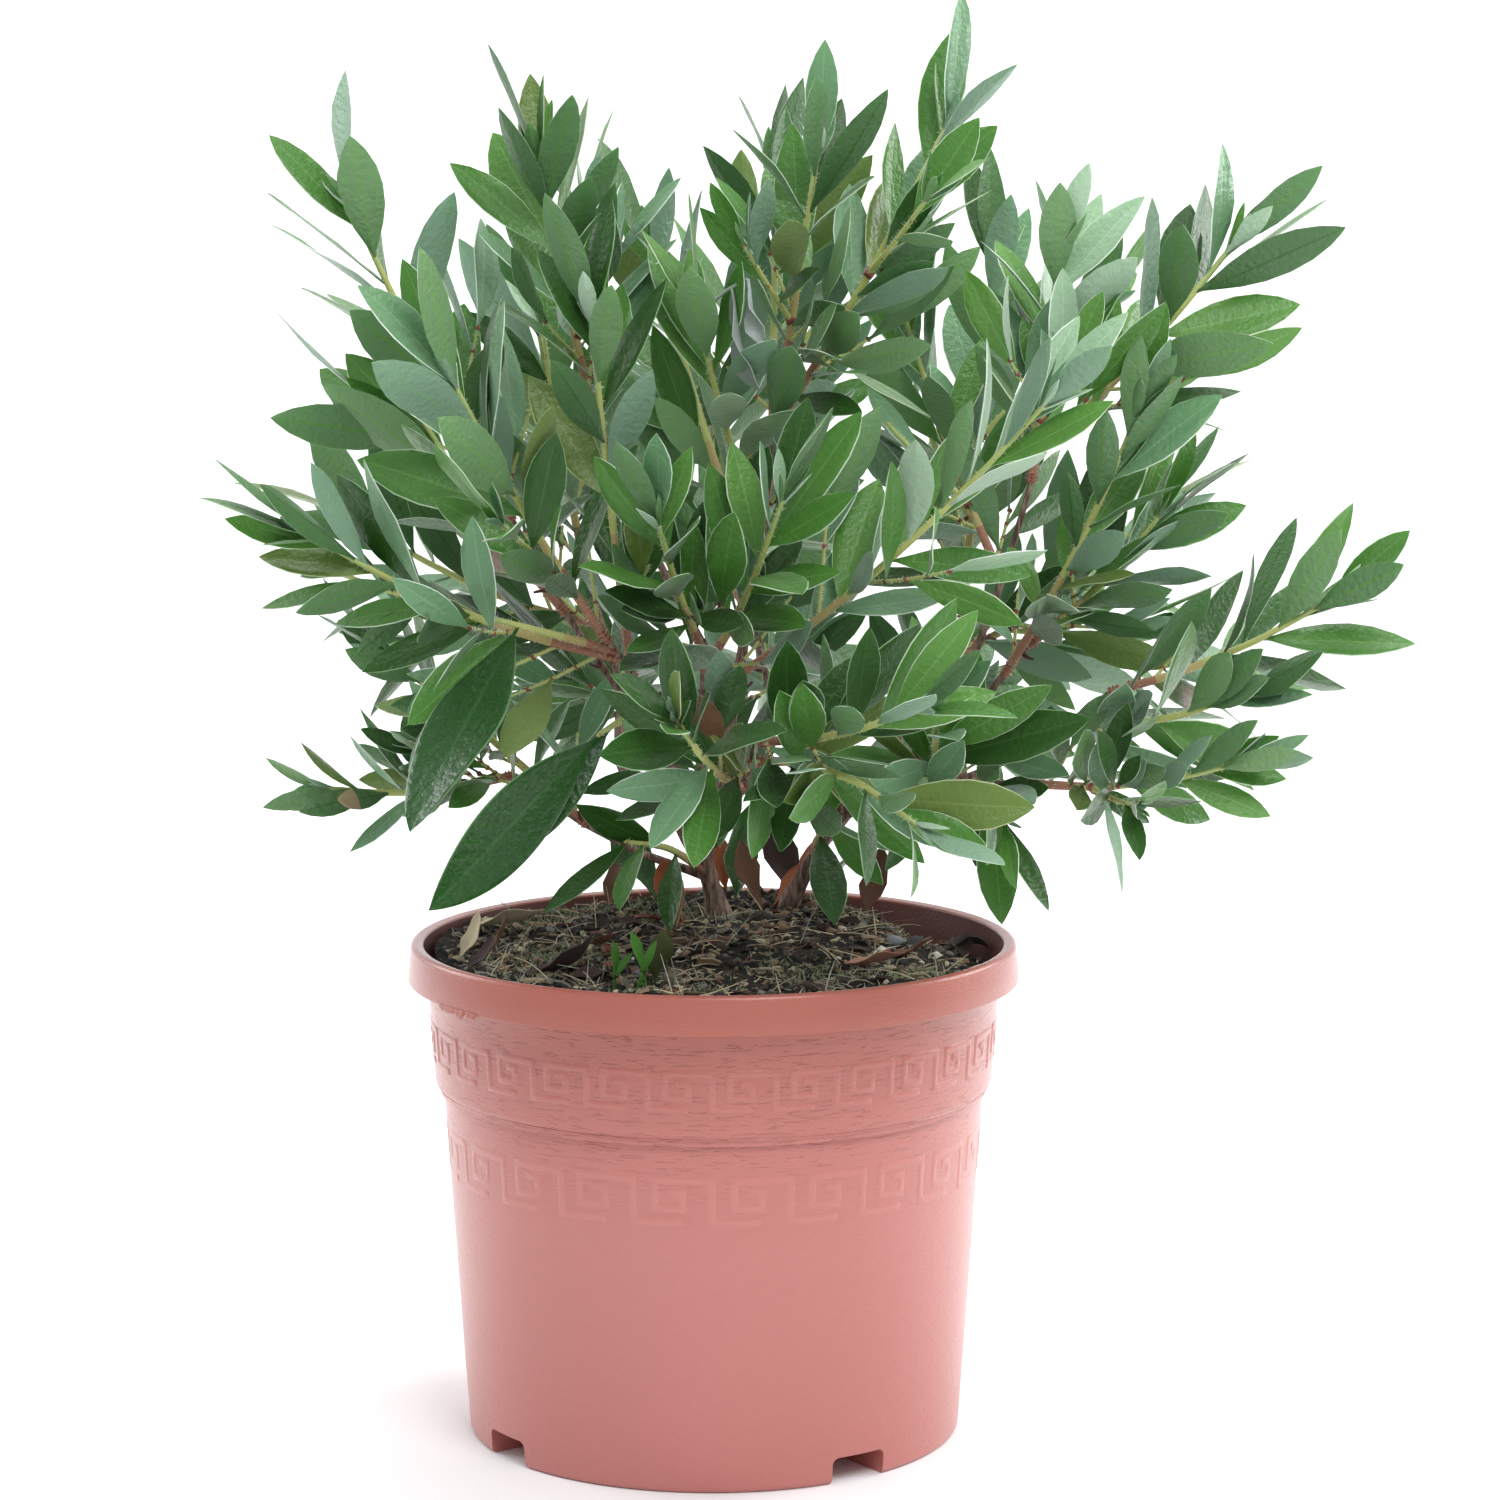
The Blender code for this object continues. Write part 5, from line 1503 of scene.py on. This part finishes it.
def turned(profile, sides):
    """Points and faces turned round +Z from (radius, height) points, from axis to axis."""
    points = [(0.0, 0.0, profile[0][1])]
    for radius, height in profile[1:-1]:
        points += ring_points(radius, height, sides)
    points.append((0.0, 0.0, profile[-1][1]))
    rings = len(profile) - 2
    top = 1 + (rings - 1) * sides
    faces = [(0, 1 + (k + 1) % sides, 1 + k) for k in range(sides)]
    faces += ring_quads(rings, sides, start=1)
    faces += [(top + k, top + (k + 1) % sides, top + sides) for k in range(sides)]
    return points, faces


def prism_faces(count):
    """Faces of a prism: its two ends, of so many corners each, and its sides."""
    return [tuple(reversed(range(count))), tuple(range(count, 2 * count)), *ring_quads(2, count)]


def ribbon_faces(rows):
    """Faces of a four-sided ribbon with its ends closed."""
    last = 4 * (rows - 1)
    return [(3, 2, 1, 0), *ring_quads(rows, 4), (last, last + 1, last + 2, last + 3)]


def block(near, far, width, bottom, top, azimuth, rounding=0.0):
    """Points and faces of a box that runs outwards along an azimuth, its upper edges rounded if asked."""
    outward = place(azimuth, 1.0, 0.0)
    side = np.array([-outward[1], outward[0], 0.0])
    half = width / 2
    outline = [(-half, bottom), (half, bottom)]
    if rounding:
        outline += arc(half - rounding, top - rounding, rounding, 0.0, 90.0)
        outline += arc(rounding - half, top - rounding, rounding, 90.0, 180.0)
    else:
        outline += [(half, top), (-half, top)]
    points = [outward * radius + side * x + np.array([0, 0, z]) for radius in (near, far) for x, z in outline]
    return points, prism_faces(len(outline))


def notch_azimuths():
    """Where the foot notches stand round the pot."""
    return [NOTCH_FIRST_AZIMUTH + 360.0 * k / NOTCH_COUNT for k in range(NOTCH_COUNT)]


def shape_with(item, blocks, operation, finishes):
    """Join blocks to an object or cut them from it, and apply the result."""
    other = Joined()
    for points, faces in blocks:
        other.add(points, faces, "pot")
    tool = other.build("tool", finishes)
    modifier = item.modifiers.new("shape", "BOOLEAN")
    modifier.operation = operation
    modifier.solver = "EXACT"
    modifier.object = tool
    bpy.context.view_layer.update()
    shaped = item.evaluated_get(bpy.context.evaluated_depsgraph_get())
    mesh = bpy.data.meshes.new_from_object(shaped)
    item.modifiers.clear()
    item.data = mesh
    bpy.data.objects.remove(tool, do_unlink=True)


def square_to(direction):
    """The direction turned a quarter to its left, on the wall."""
    return np.array([-direction[1], direction[0]])


def ribbon_rows(route):
    """Centres along a square route on the wall, each with its sideways step, mitred at corners."""
    corners = [np.array(point, dtype=float) for point in route]
    legs = [unit(end - start) for start, end in zip(corners, corners[1:])]
    mitres = []
    for before, after in zip([legs[0], *legs], [*legs, legs[-1]]):
        normal, other = square_to(before), square_to(after)
        mitres.append((normal + other) / (1.0 + float(normal @ other)))
    rows = []
    for k, leg in enumerate(legs):
        start, end = corners[k], corners[k + 1]
        steps = max(1, round(np.linalg.norm(end - start) / KEY_STEP))
        for step in range(steps):
            rows.append((start + (end - start) * step / steps, square_to(leg) if step else mitres[k]))
    rows.append((corners[-1], mitres[-1]))
    first = (corners[0] - legs[0] * KEY_SLOPE, mitres[0])
    last = (corners[-1] + legs[-1] * KEY_SLOPE, mitres[-1])
    return [first, *rows, last]


def add_ribbon(joined, route, key):
    """A raised line along a square route on the wall, its sides and ends sloping."""
    high_half = key["line"] / 2
    low_half = high_half + KEY_SLOPE
    reference = outer_radius(key["bottom"] + key["height"] / 2)
    rows = ribbon_rows(route)
    points = []
    for number, (centre, beside) in enumerate(rows):
        top = -KEY_SUNK / 2 if number in (0, len(rows) - 1) else key["proud"]
        section = ((low_half, -KEY_SUNK), (high_half, top), (-high_half, top), (-low_half, -KEY_SUNK))
        for half, lift in section:
            x, height = centre + beside * half
            points.append(place(math.degrees(x / reference), outer_radius(height) + lift, height))
    joined.add(points, ribbon_faces(len(rows)), "pot_key")


def make_key(key):
    """A band of square spirals, each running on into the next."""
    joined = Joined()
    pitch = TURN * outer_radius(key["bottom"] + key["height"] / 2) / key["count"]
    for k in range(key["count"]):
        route = [((k + x) * pitch, key["bottom"] + y * key["height"]) for x, y in KEY_ROUTE]
        add_ribbon(joined, route, key)
    return joined


def make_flash():
    """The torn sliver of moulding flash that curls out under the lip."""
    low, high = FLASH_AZIMUTHS
    count = round((high - low) / FLASH_STEP)
    base = POT_HEIGHT - LIP_HEIGHT
    points = []
    for k in range(count + 1):
        azimuth = low + (high - low) * k / count
        ragged = 0.5 + noise.noise(Vector((azimuth * FLASH_RAGGED, FLASH_SEED, 0.0)))
        drop = FLASH_DROP * ragged * math.sin(math.pi * k / count) ** 0.5
        out = LIP_RADIUS + 0.5 * drop
        points.append(place(azimuth, LIP_RADIUS - FLASH_SUNK, base + FLASH_ROOT))
        points.append(place(azimuth, LIP_RADIUS + FLASH_PROUD, base + FLASH_ROOT))
        points.append(place(azimuth, out, base - drop))
        points.append(place(azimuth, out - FLASH_THICKNESS, base - drop))
    joined = Joined()
    joined.add(points, ribbon_faces(count + 1), "pot")
    return joined


def notch_covers():
    """The raised channels behind the foot notches, still solid."""
    width = NOTCH_WIDTH + 2 * CHANNEL_WALL
    near, far = CHANNEL_INNER_RADIUS - CHANNEL_WALL, FOOT_RADIUS - WALL
    top = NOTCH_HEIGHT + CHANNEL_WALL
    return [block(near, far, width, FLOOR_THICKNESS / 2, top, azimuth) for azimuth in notch_azimuths()]


def notch_cuts():
    """What the notches, their channels and the drain holes take away."""
    cuts = []
    near = CHANNEL_INNER_RADIUS + DRAIN_INSET
    top = NOTCH_HEIGHT + CHANNEL_WALL + CUT_OVERRUN
    for azimuth in notch_azimuths():
        size = (NOTCH_WIDTH, -CUT_OVERRUN, NOTCH_HEIGHT)
        cuts.append(block(CHANNEL_INNER_RADIUS, CUT_REACH, *size, azimuth, NOTCH_ROUNDING))
        cuts.append(block(near, near + DRAIN_WIDTH, DRAIN_WIDTH, NOTCH_HEIGHT / 2, top, azimuth))
    return cuts


def make_pot(finishes):
    """The tub with its lip, tier, notched foot, drain holes and raised key bands."""
    body = Joined()
    profile = pot_profile()
    rim = max(range(len(profile)), key=lambda k: profile[k][1])
    points, faces = turned(profile, POT_SIDES)
    outside = (rim + ARC_STEPS) * POT_SIDES
    # The faces inside the rim wear the darker inside colour, painted shade
    body.add(points, faces, ["pot"] * outside + ["pot_inside"] * (len(faces) - outside))
    piece = body.build("pot_shell", finishes, SHARP_ANGLE)
    shape_with(piece, notch_covers(), "UNION", finishes)
    shape_with(piece, notch_cuts(), "DIFFERENCE", finishes)
    piece.data.shade_smooth()
    piece.data.set_sharp_from_angle(angle=math.radians(SHARP_ANGLE))
    wear(piece, "pot")
    wear(make_flash().build("pot_flash", finishes))
    for name, key in (("pot_key_upper", UPPER_KEY), ("pot_key_lower", LOWER_KEY)):
        wear(make_key(key).build(name, finishes, KEY_SHARP_ANGLE))


def soil_bumps(x, y):
    """Small clods and hollows of the compost at a place."""
    spot = Vector((x, y, 0.0))
    return sum(height * noise.noise(spot / size) for height, size in SOIL_CLODS)


def ground(x, y):
    """Height of the compost with its clods."""
    reach = math.hypot(x, y)
    share = min(1.0, reach / inner_radius(SOIL_EDGE_HEIGHT))
    open_side = max(0.0, math.cos(math.atan2(x, -y) - math.radians(SOIL_OPEN_AZIMUTH))) ** 2
    bank = SOIL_BANK * share ** SOIL_BANK_POWER * (1.0 - open_side)
    return soil_height(x, y) + bank + soil_bumps(x, y)


def make_soil(finishes):
    """The compost, domed and lumpy on top and closed below."""
    centre_x, centre_y = SOIL_PATCH_CENTRE
    wall = inner_radius(SOIL_EDGE_HEIGHT - SOIL_DIP) - SOIL_WALL_GAP
    points = [(centre_x, centre_y, ground(centre_x, centre_y))]
    for ring in range(1, SOIL_RINGS + 1):
        share = ring / SOIL_RINGS
        for rim_x, rim_y, _height in ring_points(wall, 0.0, SOIL_SIDES):
            x = centre_x + (rim_x - centre_x) * share
            y = centre_y + (rim_y - centre_y) * share
            points.append((x, y, ground(x, y)))
    below = (TIER_LOW_HEIGHT, LEDGE_HEIGHT, NOTCH_HEIGHT + CHANNEL_WALL + CLEARANCE)
    for height in below:
        points += ring_points(inner_radius(height) - SOIL_WALL_GAP, height, SOIL_SIDES)
    rings = SOIL_RINGS + len(below)
    last = 1 + (rings - 1) * SOIL_SIDES
    faces = [(0, 1 + k, 1 + (k + 1) % SOIL_SIDES) for k in range(SOIL_SIDES)]
    faces += ring_quads(rings, SOIL_SIDES, start=1, inward=True)
    faces.append(tuple(reversed(range(last, last + SOIL_SIDES))))
    joined = Joined()
    joined.add(points, faces, "soil")
    wear(joined.build("compost_surface", finishes), "soil")


def soil_spot(chance, reach=LITTER_REACH):
    """A place on the compost, even over its area."""
    radius = inner_radius(SOIL_EDGE_HEIGHT) * reach * math.sqrt(chance.random())
    angle = chance.uniform(0.0, TURN)
    return on_ground(radius * math.cos(angle), radius * math.sin(angle))


def on_ground(x, y, lift=0.0):
    """The point over a place on the compost, lifted if asked."""
    return np.array([float(x), float(y), ground(x, y) + lift])


def past_wall(point, gap):
    """Whether a point lies less than a gap inside the pot's wall."""
    return math.hypot(point[0], point[1]) > inner_radius(SOIL_EDGE_HEIGHT) - gap


ICOSAHEDRON_POINTS = []
GOLDEN = (1.0 + math.sqrt(5.0)) / 2.0
for low in (-1.0, 1.0):
    for high in (-GOLDEN, GOLDEN):
        ICOSAHEDRON_POINTS += [(0.0, low, high), (low, high, 0.0), (high, 0.0, low)]
ICOSAHEDRON_POINTS = np.array(ICOSAHEDRON_POINTS) / math.hypot(1.0, GOLDEN)


def hull_faces(points):
    """Outward triangles of a small convex solid."""
    faces = []
    count = len(points)
    for a in range(count):
        for b in range(a + 1, count):
            for c in range(b + 1, count):
                normal = np.cross(points[b] - points[a], points[c] - points[a])
                sides = (points - points[a]) @ normal
                if np.all(sides < 1e-6):
                    faces.append((a, b, c))
                elif np.all(sides > -1e-6):
                    faces.append((a, c, b))
    return faces


ICOSAHEDRON_FACES = hull_faces(ICOSAHEDRON_POINTS)


def turn_matrix(chance, tilt):
    """A random heading, tilted by up to an angle in degrees."""
    heading = Matrix.Rotation(chance.uniform(0.0, TURN), 3, "Z")
    lean = Matrix.Rotation(math.radians(chance.uniform(-tilt, tilt)), 3, "X")
    return np.array(heading @ lean)


def add_crumb(joined, spot, size, chance, look):
    """One lump of compost or stone, uneven and a little flat."""
    points = ICOSAHEDRON_POINTS * (np.array([chance.uniform(*span) for span in CRUMB_SCALES]) * size)
    points = points * np.array([[chance.uniform(*CRUMB_UNEVEN)] for _ in points])
    joined.add(points @ turn_matrix(chance, CRUMB_TILT).T + spot, ICOSAHEDRON_FACES, look)


def add_chip(joined, spot, size, chance, look):
    """One flat flake with a ragged outline."""
    outline = []
    for k in range(CHIP_CORNERS):
        angle = TURN * k / CHIP_CORNERS
        reach = size * chance.uniform(*CHIP_RAGGED)
        outline.append((reach * math.cos(angle), CHIP_WIDTH * reach * math.sin(angle)))
    thick = size * CHIP_THICKNESS
    points = [(x, y, -thick) for x, y in outline]
    points += [(CHIP_BEVEL * x, CHIP_BEVEL * y, thick) for x, y in outline]
    turn = turn_matrix(chance, CHIP_TILT).T
    joined.add(np.array(points) @ turn + spot, prism_faces(CHIP_CORNERS), look)


def add_straw(joined, spot, length, chance, look, tilt):
    """One dry stalk, bent and thin; one that lies flat follows the compost."""
    direction, _face = tilted(chance.uniform(0.0, 360.0), tilt)
    path = bent_path(spot, spot + direction * length, chance.uniform(*STRAW_BOW) * length, length / 4)
    for point in path:
        if tilt < LYING_TILTS[1] and not past_wall(point, 0.0):
            point[2] = max(point[2], ground(point[0], point[1]) + LITTER_LIFT)
    if any(past_wall(point, STRAW_WALL_GAP) for point in path):
        return
    radii = np.linspace(chance.uniform(*STRAW_RADII), STRAW_TIP, len(path))
    joined.add(*tube_mesh(path, radii, 4), look)


def scatter_crumbs(chance):
    """Crumbs of peat, pale flecks and flakes of bark, all over the compost."""
    crumbs = Joined()
    for _ in range(CRUMBS):
        look = pick(chance, CRUMB_LOOKS)
        spot = soil_spot(chance)
        add_crumb(crumbs, spot, CRUMB_SIZE + CRUMB_SPREAD * chance.random() ** CRUMB_POWER, chance, look)
    for _ in range(CHIPS):
        look = pick(chance, CHIP_LOOKS)
        spot = soil_spot(chance, CHIP_REACH) + np.array([0.0, 0.0, CHIP_LIFT])
        add_chip(crumbs, spot, chance.uniform(*CHIP_SIZES), chance, look)
    return crumbs


def scatter_straw(chance):
    """Bits of straw, thicker on the ground in some patches, a few of them upright."""
    straw = Joined()
    for k in range(STRAWS):
        spot = soil_spot(chance)
        crowded = noise.noise(Vector(spot) / STRAW_PATCH) > STRAW_CROWDED or chance.random() < STRAW_STRAYS
        if not crowded:
            continue
        look = pick(chance, STRAW_LOOKS)
        tilt = chance.uniform(*(LYING_TILTS if k % UPRIGHT_EVERY else UPRIGHT_TILTS))
        length = STRAW_LENGTH + STRAW_SPREAD * chance.random() ** STRAW_POWER
        add_straw(straw, spot, length, chance, look, tilt)
    return straw


def scatter_moss(chance):
    """Shreds of moss in cushions."""
    moss = Joined()
    patches = [soil_spot(chance, INNER_REACH) for _ in range(MOSS_PATCHES)]
    for _ in range(MOSS_SHREDS):
        centre = chance.choice(patches)
        spot = [centre[axis] + chance.gauss(0.0, MOSS_SPREAD[axis]) for axis in (0, 1)]
        if past_wall(spot, MOSS_WALL_GAP):
            continue
        look = pick(chance, MOSS_LOOKS)
        lean = unit(np.array([chance.uniform(-1.0, 1.0), chance.uniform(-1.0, 1.0), MOSS_UPRIGHT]))
        size = (chance.uniform(*MOSS_RADII), chance.uniform(*MOSS_LENGTHS))
        moss.add(*octahedron(on_ground(*spot, LITTER_LIFT), lean, *size), look)
    return moss


def scatter_stones(chance):
    """Single stones and white grains of perlite."""
    stones = Joined()
    for x, y, size, look in STONES:
        add_crumb(stones, on_ground(x, y, LITTER_LIFT * size), size, chance, look)
    for _ in range(PERLITE):
        spot = soil_spot(chance, PERLITE_REACH)
        add_crumb(stones, spot, chance.uniform(*PERLITE_SIZES), chance, "stone_white")
    return stones


def scatter_fallen(chance):
    """Dead leaves that lie or lean on the compost, the large ones where the photo shows them."""
    fallen = Joined()
    for values in FALLEN:
        add_fallen(fallen, *values)
    for _ in range(SMALL_FALLEN):
        x, y, _height = soil_spot(chance, INNER_REACH)
        look = pick(chance, FALLEN_LOOKS)
        length = chance.uniform(*SMALL_FALLEN_LENGTHS)
        heading = chance.uniform(0.0, 360.0)
        curl = chance.uniform(*SMALL_FALLEN_CURLS)
        add_fallen(fallen, x, y, heading, SMALL_FALLEN_TILT, length, curl, look)
    return fallen


def scatter_seedlings(chance):
    """Small green seedlings."""
    seedlings = Joined()
    for x, y, height in SEEDLINGS:
        add_seedling(seedlings, x, y, height, chance)
    return seedlings


def make_litter(finishes):
    """What lies on the compost, dealt from one seed."""
    chance = random.Random(LITTER_SEED)
    stones = scatter_stones(chance)
    fallen = scatter_fallen(chance)
    seedlings = scatter_seedlings(chance)
    heaps = {
        "compost_crumbs": scatter_crumbs(chance),
        "compost_straw": scatter_straw(chance),
        "compost_moss": scatter_moss(chance),
        "compost_stones": stones,
        "compost_fallen_leaves": fallen,
    }
    for name, joined in heaps.items():
        wear(joined.build(name, finishes))
    wear(seedlings.build("compost_seedlings", finishes))


def add_fallen(joined, x, y, heading, tilt, length, curl, look):
    """One dead leaf, curled, lying or leaning on the compost."""
    direction, face = tilted(heading, tilt)
    if face[2] < 0.0:
        face = -face
    form = FALLEN_FORM._replace(curl=-curl)
    add_blade(joined, on_ground(x, y, FALLEN_LIFT), direction, face, length, form, Look(*[look] * 4))


def add_seedling(joined, x, y, height, chance):
    """One small green seedling with a few leaves."""
    foot = on_ground(x, y, -SEEDLING_SUNK)
    lean = [chance.uniform(-SEEDLING_LEAN, SEEDLING_LEAN) for _ in range(2)]
    top = foot + np.array([*lean, height * SEEDLING_STALK])
    path = bent_path(foot, top, 0.0, height / 8)
    radii = np.full(len(path), SEEDLING_RADIUS)
    joined.add(*tube_mesh(path, radii, SEEDLING_SIDES), "seedling")
    for turn, slant, share in SEEDLING_LEAVES:
        direction, face = leaf_pose(unit(top - foot), turn, math.radians(slant), 0.0, 0.0)
        add_blade(joined, top, direction, face, height * share, SEEDLING_FORM, Look(*["seedling"] * 4))


def make_crown(paths, radii, finishes):
    """Every mass of foliage."""
    stems = {}
    for shoot in SHOOTS:
        start, _ = along(paths[shoot.parent], shoot.start)
        stems[shoot.name] = bent_path(start, place(*shoot.place), shoot.bow, STEM_STEP)
    space = Space(stems, paths, radii)
    for shoot in SHOOTS:
        dress_shoot(space, shoot, stems[shoot.name], finishes)


def make_camera():
    """The camera at the photograph's angle."""
    data = bpy.data.cameras.new("camera")
    data.lens = CAMERA_LENS
    data.sensor_width = SENSOR
    data.clip_end = CAMERA_SEES
    camera = bpy.data.objects.new("camera", data)
    camera.location = (CAMERA_SIDE * MM, -CAMERA_DISTANCE * MM, CAMERA_HEIGHT * MM)
    camera.rotation_euler = (math.radians(90.0 - CAMERA_PITCH), 0.0, 0.0)
    bpy.context.scene.collection.objects.link(camera)
    bpy.context.scene.camera = camera


def make_light(name, location, target, size, power):
    """A soft square lamp aimed at a point."""
    data = bpy.data.lights.new(name, "AREA")
    data.shape = "SQUARE"
    data.size = size
    data.energy = power
    lamp = bpy.data.objects.new(name, data)
    lamp.location = location
    aim = Vector(target) - Vector(location)
    lamp.rotation_euler = aim.to_track_quat("-Z", "Y").to_euler()
    bpy.context.scene.collection.objects.link(lamp)


def make_floor():
    """A pale floor that sweeps up into a wall behind."""
    surface = Surface("floor")
    surface.fill(surface.shader, {"Base Color": FLOOR_COLOUR, "Roughness": FLOOR_ROUGHNESS})
    profile = [(-FLOOR_SIZE, 0.0), (FLOOR_SIZE, 0.0)]
    for k in range(1, SWEEP_STEPS + 1):
        angle = math.radians(90.0 * k / SWEEP_STEPS)
        profile.append((FLOOR_SIZE + FLOOR_SWEEP * math.sin(angle), FLOOR_SWEEP * (1.0 - math.cos(angle))))
    profile.append((FLOOR_SIZE + FLOOR_SWEEP, WALL_TOP))
    half = FLOOR_SIZE * FLOOR_SIDE
    points = [(x, y, z) for y, z in profile for x in (-half, half)]
    faces = [(2 * k, 2 * k + 1, 2 * k + 3, 2 * k + 2) for k in range(len(profile) - 1)]
    mesh = bpy.data.meshes.new("floor")
    mesh.from_pydata(points, [], faces)
    mesh.materials.append(surface.material)
    mesh.shade_smooth()
    floor = bpy.data.objects.new("floor", mesh)
    bpy.context.scene.collection.objects.link(floor)


def make_stage():
    """The floor, under soft even light."""
    make_floor()
    world = bpy.data.worlds.new("world")
    world.use_nodes = True
    background = world.node_tree.nodes["Background"]
    background.inputs["Color"].default_value = WORLD_COLOUR
    background.inputs["Strength"].default_value = WORLD_STRENGTH
    bpy.context.scene.world = world
    bpy.context.scene.view_settings.view_transform = "Standard"
    for lamp in LAMPS:
        make_light(*lamp)


def main():
    """Dress the part and set it on its stage."""
    make_camera()
    finishes = make_finishes()
    paths, radii = lay_out_limbs()
    make_pot(finishes)
    make_soil(finishes)
    make_litter(finishes)
    make_bark(paths, radii, finishes)
    make_crown(paths, radii, finishes)
    make_stage()


main()
